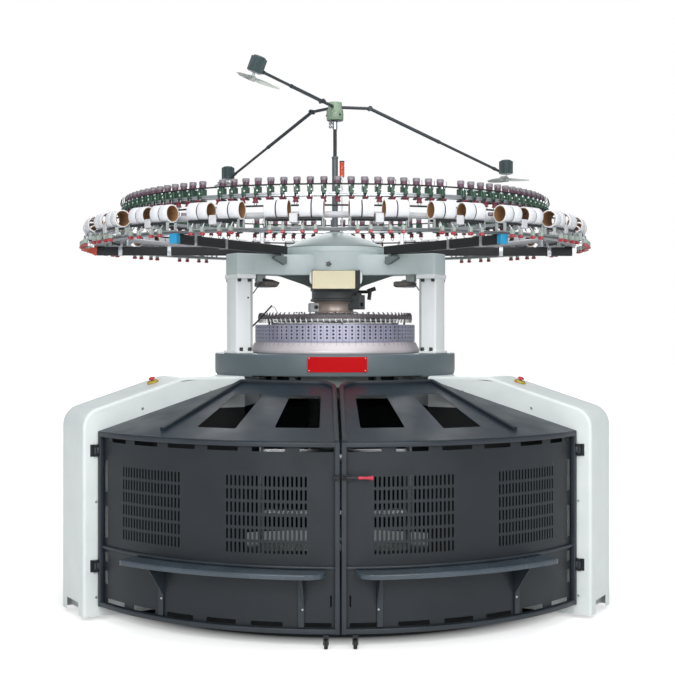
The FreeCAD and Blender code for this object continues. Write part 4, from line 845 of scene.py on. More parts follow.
# %% [markdown]
# ## Front doors
# Two curved doors meet in the middle. A real door is bent sheet on a welded frame of square tube with round
# corners: tubes along all four sides and one thin rail across. The frame's tubes are sections carried along
# arcs about the machine's axis. Everything is made for the right door, and the left one is its mirror
# image, as in the workshop, except for the latch.

# %% The door's plan
DOOR_R, DOOR_BOTTOM, DOOR_TOP, TUBE = 1552.0, 76.0, 987.0, 25.0
HALF_GAP = 3.5
END = 60 - math.degrees(math.asin((HALF_WIDTH + 6 + TUBE / 2) / DOOR_R))
SIDES = (("right", lambda shape: shape), ("left", mirrored))


def clear_start(r, x):
    """The azimuth at which a circle of radius r is x away from the middle plane."""
    return math.degrees(math.asin(x / r))


def arc_path(r, z, a0, a1, steps=40):
    """Points along a circle of radius r at height z, from azimuth a0 to a1."""
    return polar(r, np.linspace(a0, a1, steps + 1), z)


square = rounded(TUBE, TUBE, 5, 4)
posts = [turned(carried([(x, -DOOR_R, DOOR_BOTTOM), (x, -DOOR_R, DOOR_TOP)], square, up=(0, -1, 0)), azimuth)
         for x, azimuth in ((16, 0), (0, END))]
RAILS_Z = (DOOR_BOTTOM + TUBE / 2, DOOR_TOP - TUBE / 2)
rails = [carried(arc_path(DOOR_R, z, clear_start(DOOR_R, 26), END - 0.4), square) for z in RAILS_Z]
rails.append(carried(arc_path(1547.5, 388, clear_start(1547, 26), END - 0.4), rounded(16, 16, 6, 4)))
print("end post at", round(END, 2), "degrees")

# %% [markdown]
# The hood over each door has its own border: a tube up the middle edge, a rounded corner, a tube round the
# drum, another rounded corner, and one that slants down to the edge beside the leg. It is one bent tube on
# the real door, so it is one path here, with short arcs at the bends.

# %% Hood border
def bent(points, radius, steps=6):
    """A path with its corners rounded: at each inner point a quadratic curve from radius before to radius
    after it, (1 - s)^2 a + 2 s (1 - s) corner + s^2 b."""
    points = [np.array(p, float) for p in points]
    path = [points[0]]
    for before, corner, after in zip(points, points[1:], points[2:]):
        a = corner + (before - corner) / np.linalg.norm(before - corner) * radius
        b = corner + (after - corner) / np.linalg.norm(after - corner) * radius
        s = np.linspace(0, 1, steps + 1)[:, None]
        path.extend((1 - s) ** 2 * a + 2 * s * (1 - s) * corner + s ** 2 * b)
    return np.array(path + [points[-1]])


LIFT, HOOD_TOP_R = 7.0, 765.0
border_top = hood_height(HOOD_TOP_R) + LIFT
top_arc = arc_path(HOOD_TOP_R, border_top, clear_start(HOOD_TOP_R, 92), 42.2, 24)
head_point = (19, -825, hood_height(825) + LIFT)
slant_foot = polar(1485, 36.8, hood_height(1485) + LIFT + 2)
corner_point = polar(HOOD_TOP_R, 43.6, border_top)
inner_bend = bent([(19, -1556, 986), head_point, (66, -770, border_top), top_arc[0]], 26)
plan = corner_point + (slant_foot - corner_point) * np.linspace(0.1, 1, 10)[:, None]
slant = np.column_stack([plan[:, :2], hood_height(np.hypot(plan[:, 0], plan[:, 1])) + LIFT + 1])
outer_bend = np.concatenate([bent([top_arc[-1], corner_point, slant[0]], 16), slant[1:]])
border_path = np.concatenate([inner_bend[:-1], top_arc, outer_bend[1:]])
border = carried(border_path, rounded(TUBE, TUBE, 6, 4), up=(0, -0.29, 0.96))

# %% [markdown]
# ### Door sheet
# The sheet between the tubes is laser-cut before it is bent: tabs and slots round its edge, and two grilles
# of upright slots. As a surface it is a grid of azimuth and height, whose lines run along every slot edge.
# Cells inside a slot are left open, and the sheet gets its thickness and its cut edges in the same step.

# %% Slots of the sheet, each as two azimuths and two heights
per_mm = math.degrees(1 / DOOR_R)
slots = []
for first in (6.0, 30.8):
    for column_number in range(19):
        a = first + column_number * 22 * per_mm
        slots += [(a, a + 10.5 * per_mm, 450 + 64 * row, 501 + 64 * row) for row in range(6)]
for k in range(6):
    for first, span, z0, z1 in ((1.2, 6.1, 938, 961), (1.6, 5.9, 102.5, 125)):
        slots.append((first + 8.75 * k, min(first + 8.75 * k + span, 51.6), z0, z1))
edge = END - TUBE / 2 * per_mm
for z0, z1 in ((677, 843), (437, 604), (310, 364), (196, 266)):
    slots.append((edge - 40 * per_mm, edge - 9 * per_mm, z0, z1))
slots.append((clear_start(DOOR_R, 42), clear_start(DOOR_R, 51), 200, 257))
print(len(slots), "slots in a door sheet")


# %% The pierced sheet
def slotted_sheet(outer, thick, a0, a1, z0, z1, slots, corner=3.0):
    """The bent sheet. Grid lines run along all slot edges and a corner's width inside them; the corner
    points of a slot move in by the corner's width, which cuts its corners off."""
    lines = {round(v, 5) for a, b, _, _ in slots for v in (a, b)}
    lines |= {round(v, 5) for v in np.arange(a0, a1, 1.2)}
    levels = {round(v, 5) for _, _, c, d in slots for v in (c, c + corner, d - corner, d)}
    a = np.array(sorted(v for v in lines | {a0, a1} if a0 <= v <= a1))
    z = np.array(sorted(v for v in levels | {z0, z1} if z0 <= v <= z1))
    a = a[np.concatenate([[True], np.diff(a) > 1e-4])]
    z = z[np.concatenate([[True], np.diff(z) > 1e-3])]
    solid = np.ones((len(a) - 1, len(z) - 1), bool)
    ga, gz = np.meshgrid(a, z, indexing="ij")
    for s0, s1, t0, t1 in slots:
        i0, i1 = np.argmin(abs(a - s0)), np.argmin(abs(a - s1))
        j0, j1 = np.argmin(abs(z - t0)), np.argmin(abs(z - t1))
        solid[i0:i1, j0:j1] = False
        for j in (j0, j1):
            ga[i0, j] += corner * per_mm
            ga[i1, j] -= corner * per_mm
    return pierced(polar(outer, ga, gz), polar(outer - thick, ga, gz), solid)


sheet = slotted_sheet(1539.2, 2.0, clear_start(DOOR_R, HALF_GAP + 1), END + 0.3, 80, 970, slots)

# %% [markdown]
# ### Hood
# The hood is a cone frustum of sheet that slopes up to the drum, with two windows. The windows follow lines
# that are neither radii nor circles, so no grid has its lines on them. The sheet is laid out flat in plan
# instead: its outline, the windows' outlines with rounded corners and points spread between them are joined
# into triangles, those inside a window are left out, and every point is lifted to the cone's height.

# %% Hood sheet with windows
SHEET_LOW_R = 1562.0


def hood_sheet(windows, a_end, thick=2.0):
    """The hood as a patch in plan, triangulated between its outline and the windows' outlines, then lifted
    to the slope z = hood_height(r); the same patch moved up by the thickness closes it."""
    edge_x = 17.5
    low = polar(SHEET_LOW_R, np.linspace(clear_start(SHEET_LOW_R, edge_x), a_end[0], 40), 0)
    high = polar(HOOD_TOP_R, np.linspace(a_end[1], clear_start(HOOD_TOP_R, edge_x + 60), 24), 0)
    outlines = [np.concatenate([low, high, [[edge_x, -829, 0]]])]
    for window in windows:
        corners = np.array([polar(r, a, 0) for r, a in window])
        start = (corners[0] + corners[-1]) / 2
        outlines.append(bent([start, *corners, start], 16, 5)[1:-1])
    points = np.concatenate(outlines)[:, :2]
    loops, start = [], 0
    for outline in outlines:
        loops.append(list(range(start, start + len(outline))))
        start += len(outline)
    extra = [polar(r, a, 0)[:2] for r in np.linspace(800, 1520, 13) for a in np.linspace(3, 48, 24)]
    extra = np.array([p for p in extra if p[0] > edge_x + 8])
    points = np.concatenate([points, extra])
    edges = [(loop[k - 1], loop[k]) for loop in loops for k in range(len(loop))]
    made, _, triangles, _, _, _ = mathutils.geometry.delaunay_2d_cdt(
        [tuple(p) for p in points], edges, [], 0, 1e-4)
    made = np.array([tuple(p) for p in made])
    triangles = np.array(triangles)
    middle = made[triangles].mean(1)

    def inside(polygon, p):
        """Whether points lie in a polygon: the number of its sides that a ray along +X crosses is odd."""
        a, b = polygon, np.roll(polygon, -1, 0)
        straddle = (a[None, :, 1] > p[:, None, 1]) != (b[None, :, 1] > p[:, None, 1])
        with np.errstate(divide="ignore", invalid="ignore"):
            x = a[None, :, 0] + (p[:, None, 1] - a[None, :, 1]) * (b - a)[None, :, 0] / (b - a)[None, :, 1]
        return (straddle & (p[:, None, 0] < x)).sum(1) % 2 == 1
    keep = inside(outlines[0][:, :2], middle)
    for outline in outlines[1:]:
        keep &= ~inside(outline[:, :2], middle)
    triangles = triangles[keep]
    used = np.unique(triangles)
    renumber = np.full(len(made), -1)
    renumber[used] = np.arange(len(used))
    made, triangles = made[used], renumber[triangles]
    r = np.hypot(made[:, 0], made[:, 1])
    under = np.column_stack([made, hood_height(r)])
    over = under + [0, 0, thick]
    rim = np.concatenate([triangles[:, [0, 1]], triangles[:, [1, 2]], triangles[:, [2, 0]]])
    key = np.sort(rim, 1) @ [len(made), 1]
    _, first, counts = np.unique(key, return_index=True, return_counts=True)
    rim = rim[first[counts == 1]]
    walls = np.stack([rim[:, 1], rim[:, 0], rim[:, 0] + len(made), rim[:, 1] + len(made)], -1)
    return outward((np.concatenate([under, over]),
                    stacked(triangles[:, ::-1], triangles + len(made), walls[:, ::-1])))


WINDOWS = (((940, 5.5), (940, 15.5), (1392, 13.3), (1392, 4.1)),
           ((935, 25.2), (935, 35.5), (1415, 30.3), (1415, 21.3)))
hood_end = tuple(60 - clear_start(r, HALF_WIDTH + 6) for r in (SHEET_LOW_R, HOOD_TOP_R))
hood = hood_sheet(WINDOWS, hood_end)

# %% [markdown]
# ### Step trays
# Along the foot of each door runs a tread on two brackets: a shallow pressed tray, its front edge rolled
# down and its corner at the door gap cut round, with a gritty coat. Seen from the front, only its face and
# its rolled edge show, so the roll is the part worth modelling: the section runs over a small radius.

# %% Tray with a rolled edge
def tray(back=1541.0, depth=140.0, top=379.5, lip=24.0, a0=2.6, a1=41.0, corner=90.0):
    """A grid of azimuth and section. The section runs from the back edge forwards, over a radius of 7 mm and
    down the lip. Its reach shrinks near the ends: by corner (1 - sqrt(1 - s^2)) at the gap, s = distance
    into the corner, and by a smaller radius at the other end."""
    arc = np.linspace(0, math.radians(a1 - a0) * back, 90)
    near = np.clip((corner - arc) / corner, 0, 1)
    far = np.clip((arc - arc[-1] + 26) / 26, 0, 1)
    reach = depth - corner * (1 - np.sqrt(1 - near ** 2)) - 26 * (1 - np.sqrt(1 - far ** 2))
    bend = np.radians(np.linspace(0, 90, 6))
    roll = 7.0

    def layer(inset):
        flat_part = np.linspace(0, 1, 9)[None, :] * (reach[:, None] - roll)
        curve = (reach[:, None] - roll) + (roll - inset) * np.sin(bend)[None, 1:]
        down = np.repeat(reach[:, None] - inset, 2, 1)
        r = back + np.concatenate([flat_part, curve, down], 1)
        z = np.concatenate([np.full(9, top - inset), top - roll + (roll - inset) * np.cos(bend)[1:],
                            [top - lip * 0.6, top - lip]])
        return polar(r, a0 + np.degrees(arc / back)[:, None], z[None, :])
    outer, inner = layer(0.0), layer(2.0)
    return pierced(outer, inner, np.ones((outer.shape[0] - 1, outer.shape[1] - 1), bool))


def bracket(azimuth):
    """A flat bar down the door with a triangular gusset and one bolt."""
    bar = block((-16, -1551, 101.5), (16, -1540, 377), 3.5)
    gusset = side_slab([(1540, 377), (1668, 377), (1668, 368), (1552, 212), (1540, 212)], -17, -12)
    return turned(joined(bar, gusset), azimuth), turned(side_bolt(-8, 1551, 190), azimuth)


def side_bolt(t, u, z, r=6.0, thick=4.0):
    """A low bolt head that faces outwards at (u, t, z)."""
    return moved(sideways(spun([(r, 0), (r, thick * 0.6), (r * 0.75, thick)], 10)), t, -u, z)


step = tray()
bars, bolts = zip(bracket(7.0), bracket(35.0))
brackets, bracket_bolts = joined(*bars), joined(*bolts)

# %% [markdown]
# ### Hinges, latch and casters
# Hinge knuckles are short turned sleeves on the end post. The latch is a toggle: a plate with a hook plate,
# a lever and a moulded red grip that flares at its end. Each door's weight is carried by a small swivel
# caster under its free edge.

# %% Hinge knuckles and their leaves
PIVOT = np.array([1267.547, -941.974])


def knuckle(z):
    """The moving sleeve round the pin, and its leaf from the end post."""
    sleeve_part = ring([(5.15, z - 16.8), (8.4, z - 16.8), (9, z - 16), (9, z + 16), (8.4, z + 16.8),
                        (5.15, z + 16.8)], 24)
    start = polar(1556.0, END, z)
    end = np.array([*PIVOT, z])
    toward = (end - start) / np.linalg.norm(end - start)
    leaf = carried([start, end - toward * 7.5], rounded(9, 33, 1.5, 2))
    return joined(moved(sleeve_part, *PIVOT), leaf)


knuckles = joined(knuckle(286), knuckle(890))
frame_shape = joined(*posts, *rails, border, knuckles)

# %% Both doors
for side, flip in SIDES:
    body = f"{side}_door"
    piece(f"{side}_door_tubes", flip(frame_shape), tube_coat_painted_highlight, body, stands_for=(f"{side}_door_frame",),
          sharp=30)
    piece(f"{side}_door_panel", flip(sheet), door_coat, body, stands_for=(f"{side}_door_sheet",), sharp=30)
    piece(f"{side}_hood_panel", flip(hood), hood_coat_painted_reflection, body, stands_for=(f"{side}_door_hood",), sharp=30)
    piece(f"{side}_tread", flip(step), tread_coat, body, stands_for=(f"{side}_door_step",), sharp=50)
    piece(f"{side}_brackets", flip(brackets), tube_coat_painted_highlight, body)
    piece(f"{side}_bracket_bolts", flip(bracket_bolts), zinc, body)
    refinish(f"{side}_caster_fork", black_steel)
refinish("hinge_leaves", black_steel)

# %% Latch
front = -1564.8
hook_plate = joined(block((-33, front - 9.5, 806), (-4.5, front, 834), 1.5),
                    block((-25, front - 16, 812), (-8, front - 9, 828), 1.5),
                    side_bolt(-28, 1574.3, 811, 3.2, 2.4), side_bolt(-28, 1574.3, 829, 3.2, 2.4))
piece("latch_hook_plate", hook_plate, black_steel, "left_door", stands_for=("latch_catch",))
lever_plate = joined(block((5, front - 8, 806), (50, front, 834), 1.5),
                     block((12, front - 13, 813), (40, front - 8, 827), 2.0),
                     carried([(30, front - 15, 820), (62, front - 17, 821), (90, front - 16, 820)],
                             rounded(9, 12, 3, 2), up=(0, 0, 1)),
                     side_bolt(10, 1572.8, 811, 3.2, 2.4), side_bolt(10, 1572.8, 829, 3.2, 2.4),
                     side_bolt(44, 1572.8, 829, 3.2, 2.4), side_bolt(20, 1577.8, 820, 5.0, 5.0))
grip = lengthwise(spun([(6.0, 82), (7.5, 84), (7.0, 100), (6.6, 118), (7.6, 134), (10.0, 144), (11.5, 148),
                        (11.5, 151), (9, 153.5)], 20))
piece("latch_lever_steel", lever_plate, black_steel, "latch", stands_for=("latch_lever",))
piece("latch_grip", moved(grip, 0, front - 16, 820), grip_red, "latch")

# %% Casters: a rubber tyre with a crowned tread and its hub, turned about X at the wheel's centre
tyre, hub_part = [moved(lengthwise(ring(profile, steps)), 70, -1536, 25) for profile, steps in (
    ([(16, -8), (20, -9.5), (23.5, -9.5), (24.8, -6), (25, 0), (24.8, 6), (23.5, 9.5), (20, 9.5),
      (16, 8)], 40),
    ([(4.3, -10), (9, -10), (10, -7), (16.3, -6.5), (16.3, 6.5), (10, 7), (9, 10), (4.3, 10)], 32))]
for side, flip in SIDES:
    piece(f"{side}_caster_tyre", flip(tyre), rubber, f"{side}_wheel", stands_for=(f"{side}_caster_wheel",))
    piece(f"{side}_caster_hub", flip(hub_part), zinc, f"{side}_wheel")

# %% [markdown]
# ### Rear guards
# Fixed guards close the two rear bays. They are rolled like the doors, with a cone of sheet over a bent wall
# and the same square tube along the edges. Each row of the sheet ends where the leg covers begin, so the
# azimuths of its ends follow from its radius.

# %% Guard of one rear bay
def bay(r, in_from_cover=1.5, steps=60):
    """Azimuths at a radius from the right leg's cover to the rear one: each starts asin(distance / r) from
    its leg, the distance being the cover's half width and a little more."""
    side = clear_start(r, HALF_WIDTH + in_from_cover)
    return np.linspace(60 + side, 180 - side, steps + 1)


def guard_layer(inset):
    """The wall and the cone as rows (r, z), drawn in by the inset."""
    wall = [(1549.5 - inset, z) for z in (76, 82, 300, 530, 760, 965)] + [(1549 - inset, 985 - inset)]
    cone = [(r, hood_height(r) + 2 - inset) for r in (1545, 1380, 1220, 1060, 900, 765)]
    return np.stack([polar(r, bay(r), z) for r, z in wall + cone])


guard = pierced(guard_layer(0.0), guard_layer(2.0), np.ones((12, 60), bool))
GUARD_R, GUARD_TOP_R = 1548, 778
edge_at = bay(GUARD_R, 14)
edges = [carried(polar(GUARD_R, edge_at, z), square) for z in RAILS_Z]
edges.append(carried(polar(GUARD_TOP_R, bay(GUARD_TOP_R, 3), hood_height(GUARD_TOP_R) + 4), square))
edges += [carried(polar(GUARD_R, azimuth, np.array([DOOR_BOTTOM, DOOR_TOP])), square, up=polar(1, azimuth, 0))
          for azimuth in edge_at[[0, 30, -1]]]
for side, flip in SIDES:
    piece(f"rear_guard_{side}_sheet", flip(guard), guard_coat, stands_for=(f"rear_guard_{side}",), sharp=30)
    piece(f"rear_guard_{side}_tubes", flip(joined(*edges)), tube_coat_painted_highlight, sharp=30)

# %% [markdown]
# ## Crown
# One casting ties the three columns together: a band, three arms whose flanks run into the band along its
# tangent, and a hull under them that narrows to the gear case. The band is a turned profile. An arm is its
# plan outline, repeated at a few heights and drawn in near the top and the foot, which gives the soft edge
# of a casting without a modifier. The hull is a cone whose top circle swells out under each arm.

# %% Outlines that are drawn in
def drawn_in(outline, distance):
    """An outline moved inwards: each point moves along the mean of its two edges' inward normals, by the
    distance over the cosine of half the angle between them."""
    p = np.asarray(outline, float)
    edge = np.roll(p, -1, 0) - p
    edge /= np.linalg.norm(edge, axis=1, keepdims=True)
    if np.sum(p[:, 0] * np.roll(p[:, 1], -1) - np.roll(p[:, 0], -1) * p[:, 1]) < 0:
        distance = -distance
    normal = np.stack([-edge[:, 1], edge[:, 0]], -1)
    mean = normal + np.roll(normal, 1, 0)
    mean /= np.linalg.norm(mean, axis=1, keepdims=True)
    return p + mean * distance / np.clip((mean * normal).sum(1, keepdims=True), 0.5, 1)


def loaf(outline, rows):
    """A solid from an outline (x, y): one ring for each row (z, inset), stacked and closed flat."""
    return capped(np.stack([np.column_stack([drawn_in(outline, inset), np.full(len(outline), z)])
                            for z, inset in rows]))


# %% Crown casting
s = np.linspace(0, 1, 11)[:, None]
flank = (1 - s) ** 2 * [172, -245.7] + 2 * s * (1 - s) * [75, -313.6] + s ** 2 * [75, -460]
half_plan = np.concatenate([flank, [[75, -585]]])
arm_plan = np.concatenate([half_plan, half_plan[::-1] * [-1, 1]])
edge_rows = [(1838, 4), (1840, 1), (1843, 0), (1951, 0), (1955, 1.5), (1957, 5)]
arm = joined(loaf(arm_plan, edge_rows), loaf(rounded(153, 112, 9, 3) + [0, -634], edge_rows))
band = spun([(120, 1858), (296, 1858), (299.2, 1860), (300, 1863), (300, 1969.5), (298.6, 1970.5),
             (298.6, 1972), (300, 1973), (300, 2001), (298.5, 2004.5), (295, 2006), (120, 2006)], 128)


def hull(steps=144):
    """The hull: rows from the foot circle r = 146 at 1770 up to the rim at 1860. The rim's radius is
    296 + 150 exp(-(a / 10)^2), a = the angle in degrees from the nearest arm."""
    azimuth = np.arange(steps) * 360 / steps
    off = (azimuth + 120) % 120 - 60
    rim = 296 + 150 * np.exp(-(off / 10) ** 2)
    part = np.array([0, 0, 0.02, 0.25, 0.5, 0.75, 1.0, 1.0])[:, None]
    z = np.array([1768, 1768, 1771, 1790, 1811, 1832, 1852, 1859])[:, None]
    r = 146 + (rim[None, :] - 146) * part
    r[0] = 100
    return capped(polar(r, azimuth[None, :], z))


piece("crown_casting", joined(band, at_legs(arm)), crown_enamel, stands_for=("crown",))
piece("crown_hull", hull(), hull_enamel_painted_shade)
dome = spun([(296, 2006), (298, 2008), (297.5, 2010.5), (294, 2013.5), (262, 2029), (226, 2046), (190, 2060),
             (140, 2076), (95, 2090), (62, 2098), (60, 2102), (56, 2105), (36, 2106)], 128)
piece("crown_dome_cover", dome, dome_enamel, stands_for=("crown_dome",))

# %% [markdown]
# The crown's small parts: bolts through the arms, a lug under the inner end of each beam, dark with a painted
# shade for the fillet between arm and band, a star knob on the band, a clamp handle on the gear case and
# three flat work lamps that light the knitting head. Each lamp hangs from a small grey bracket, with a short
# lead to its column and a diffuser of opal acrylic below.

# %% Small parts on the crown
lobes = np.radians(np.arange(30) * 12)
star = (14 + 2.6 * np.cos(lobes * 5))[:, None] * np.stack([np.cos(lobes), np.sin(lobes)], -1)
knob = sideways(moved(loaf(star, [(0, 4), (4, 3), (5, 0), (13, 0), (16, 3)]), 0, 0, 299))
arm_bolt = spun([(11, 1956), (11, 1964), (9.5, 1965.5), (6, 1965.5)], 6)
arm_bolts = at_legs(joined(*[moved(arm_bolt, x, -u) for x in (-44, 44) for u in (600, 660)]))
# a wedge lug in the hull's darker enamel, standing for the shade in the fillet between arm and band: a
# painted shade
lug_in_painted_shade = joined(side_slab([(390, 1944), (466, 1944), (470, 1932), (404, 1896), (390, 1902)], 74, 112),
             block((94, -424, 1940), (106, -408, 1958), 2.0))
piece("crown_star_knob", moved(turned(knob, -7.7), 0, 0, 1900), dark_enamel)
piece("crown_bolts", arm_bolts, black_steel)
piece("crown_lugs", at_legs(paired(lug_in_painted_shade)), hull_enamel_painted_shade)
handle = joined(carried([(0, -140, 1748), (0, -214, 1748)], circle(10, 10)),
                carried([(0, -204, 1700), (0, -205, 1704), (0, -211, 1750), (0, -212, 1756)],
                        rounded(22, 22, 7, 3), up=(0, 1, 0)),
                carried([(0, -196, 1752), (0, -244, 1768)], rounded(20, 24, 7, 3)))
piece("gear_case_handle", turned(handle, 82), black_coat)

# %% Work lamps
case = block((-72, -508, 1769), (72, -424, 1801), 6.0)
hanger = joined(block((-18, -532, 1798), (18, -478, 1840), 3.0),
                block((-14, -470, 1799), (14, -452, 1812), 2.0))
stay = carried([(24, -500, 1812), (30, -440, 1803), (34, -400, 1790)], rounded(9, 16, 3, 2))
glass = block((-60, -498, 1766.5), (60, -434, 1770), 1.5)
lead = carried([(14, -481, 1800), (18, -502, 1796), (21, -530, 1772), (20, -556, 1738), (16, -576, 1716),
                (14, -582, 1700)], circle(3.2, 8), up=(1, 0, 0))
# bronze-grey powder coat, which looks warm beside the crown's cool enamel
lamp_bronze = skin("lamp_housing_bronze", "#55504d", "#615b58", 0.40, 3.0, 0.06)
piece("work_lamp_cases", at_legs(case), lamp_bronze, stands_for=("work_lamps",))
piece("work_lamp_hangers", at_legs(hanger), casting_enamel)
piece("work_lamp_stays", at_legs(stay), black_coat)
# opal acrylic: translucent white with a soft gloss
opal = skin("opal_acrylic", "#eef0ee", "#f4f5f3", 0.28, 8.0, 0.01, coat=0.3, spread=0.03)
piece("work_lamp_diffusers", at_legs(glass), opal)
piece("work_lamp_leads", at_legs(lead), rubber)

# %% [markdown]
# ## Two bare plates
# A cream plate hangs on black bars in front of the hull, between two round white ends, and a red one is bent
# round the drum below. Both are sheet with rounded corners and bare enamel.

# %% Plates
UPRIGHT = (0, 2, 1)
cream = raised(rounded(246, 104, 3, 4) + [0, 1809.5], -311.5, -308, UPRIGHT)
piece("crown_plate", moved(cream, -12.5), cream_enamel, stands_for=("upper_plate",), bevel=0.8)
bars = [block((110, -312, 1757), (139, -296, 1862), 2.0), block((-139, -311, 1757), (-132, -296, 1862), 2.0),
        block((-136, -308, 1756), (136, -300, 1863), 2.0), block((128, -306, 1858), (138, -270, 1866), 2.0),
        block((-138, -306, 1858), (-128, -270, 1866), 2.0)]
piece("crown_plate_bars", joined(*bars), black_coat)
part = np.linspace(-1, 1, 9)
bow = np.concatenate([np.column_stack([14 * np.sqrt(1 - 0.94 * part ** 2), part * 36]), [[0, 36], [0, -36]]])
ends = [raised((bow + [138, 0]) * [side, 1] + [0, 1820], -304, -288, UPRIGHT) for side in (-1, 1)]
piece("crown_plate_ends", joined(*ends), opal, bevel=2.0)
bent_plate = arc_bar(717.5, 720.5, 1290, 1373.5, -13, 13, 48, 0.8)
piece("drum_plate", bent_plate, red_enamel, stands_for=("lower_plate",))
rivet = sideways(moved(spun([(4.2, 0), (4.2, 0.8), (3.0, 2.2), (1.0, 2.8)], 12), 0, 0, 720.2))
drum_rivets = [turned(moved(rivet, 0, 0, z), a) for z in (1298, 1366) for a in (-12.3, 12.3)]
piece("plate_rivets", joined(*drum_rivets), zinc)

# %% [markdown]
# ## Feeder ring: beams, posts and rails
# Six black box beams lie on the crown's arms, two on each, and spread out to carry two round rails of
# aluminium. A box beam is a rounded rectangle carried along a straight path. The two beams in front end in
# light-blue plastic caps, and each beam is held by bright straps bent from flat bar. The rails are profiles
# turned all the way round, so they are smooth where the CAD has flats.

# %% Beams, caps and straps
BEAM_START, BEAM_LENGTH, BEAM_OFFSET, BEAM_TURN, BEAM_Z = 369.0, 1052.0, 45.0, 30.0, 1982.0
FEEDER_R = 1225.0


def beam_point(along, side, z=BEAM_Z):
    """A point on a beam's axis for an arm that points to the front: u = 369 + a cos 30, t = 45 + a sin 30."""
    turn = math.radians(BEAM_TURN)
    return np.array([side * (BEAM_OFFSET + along * math.sin(turn)),
                     -(BEAM_START + along * math.cos(turn)), z])


def beam_reach(r):
    """How far along its axis a beam comes to the radius r, from the quadratic |start + a direction| = r."""
    turn = math.radians(BEAM_TURN)
    b = BEAM_START * math.cos(turn) + BEAM_OFFSET * math.sin(turn)
    return -b + math.sqrt(b * b - (BEAM_START ** 2 + BEAM_OFFSET ** 2 - r * r))


beams, straps, posts, nuts = [], [], [], []
for side in (-1, 1):
    beams.append(carried([beam_point(0, side), beam_point(BEAM_LENGTH, side)], rounded(40, 50, 4, 3)))
    for along in (620, 905):
        straps.append(carried([beam_point(along, side), beam_point(along + 22, side)], rounded(45, 55, 3, 2)))
        nuts.append(moved(spun([(7, 2009), (7, 2016), (5.5, 2018)], 6), *beam_point(along + 11, side, 0)))
    foot = beam_point(beam_reach(FEEDER_R), side, 0)
    posts.append(moved(carried([(0, 0, 2007), (0, 0, 2192)], rounded(26, 26, 3, 2), up=(0, 1, 0)), *foot))
    posts.append(moved(block((-30, -24, 2007), (30, 24, 2012), 1.5), *foot))
piece("ring_beam_tubes", at_legs(joined(*beams)), black_coat, stands_for=("ring_beams",))
# moulded polypropylene, saturated light blue, slightly glossy
cap_blue = skin("moulded_blue_cap", "#2b9ccb", "#2593c2", 0.38, 3.0, 0.04)
caps = [turned(carried([beam_point(BEAM_LENGTH - 1, s), beam_point(BEAM_LENGTH + 34, s)],
                       rounded(44, 50, 5, 3)), a) for s, a in ((1, LEGS["left"]), (-1, LEGS["right"]))]
piece("ring_beam_caps", joined(*caps), cap_blue, bevel=2.0)
tip = beam_point(BEAM_LENGTH - 2, -1)
wedge = side_slab([(0, -22), (16, -26), (72, 4), (66, 12), (0, 25)], -20, 20)
marker = turned((turned(wedge, -BEAM_TURN)[0] + tip, wedge[1]), LEGS["left"])
# the same moulding in orange-red, on the end of the beam that points to the left side
cap_orange = skin("moulded_orange_cap", "#cf4a2c", "#c44227", 0.38, 3.0, 0.04)
piece("ring_beam_marker", marker, cap_orange)
piece("ring_beam_straps", at_legs(joined(*straps, *nuts)), zinc)
piece("ring_post_tubes", at_legs(joined(*posts)), aluminium, stands_for=("ring_posts",))

# %% Rails
feeder_rail = ring([(1202, 2192), (1248, 2192), (1250, 2194), (1250, 2199), (1247, 2201), (1247, 2203),
                    (1250, 2205), (1250, 2210), (1248, 2212), (1202, 2212), (1200, 2210), (1200, 2194)], 192)
unit_rail = ring([(1361, 2007), (1417, 2007), (1419, 2009), (1419, 2012), (1416.5, 2013.5), (1419, 2015),
                  (1419, 2019), (1417, 2021), (1361, 2021), (1359, 2019), (1359, 2009)], 192)
duct, guide_rod = [ring(circle(radius, sides) + centre, 144)
                   for radius, sides, centre in ((16, 12, (1345, 2088)), (5, 6, (1362, 2133)))]
piece("ring_rail_profiles", feeder_rail, aluminium, stands_for=("ring_rails",))
# the outer rail is anodised, a darker grey
anodised = skin("anodised_rail", "#7d8184", "#898d90", 0.38, 2.5, 0.03, metallic=0.6)
piece("ring_outer_rail", unit_rail, anodised)
piece("ring_guide_rod", guide_rod, black_steel)

# %% [markdown]
# ## Yarn feeders
# 108 feeders stand round the upper rail in six blocks of eighteen. Each has a green housing, two grey-mauve
# drive pulleys stacked on top with a toothed belt between them, a dark red yarn wheel under the rail and a
# wire hook. A shape that comes 108 times has only a few faces: rounded edges are shading, not geometry.

# %% One feeder, turned 108 times
feeders_at = np.concatenate([60 * k - 2.0 + 3.18 * (np.arange(18) - 8.5) for k in range(6)])
# green enamel on the feeders' housings; its tone changes every few centimetres, so neighbours differ a little
feeder_green = skin("feeder_enamel_green", "#2c4a3a", "#3c5f4c", 0.36, 4.0, 0.08, patch=60)
# their clamps are a dark casting, dull, with a grain
feeder_dark = skin("feeder_casting_dark", "#2a302e", "#3a413e", 0.45, 4.0, 0.10)
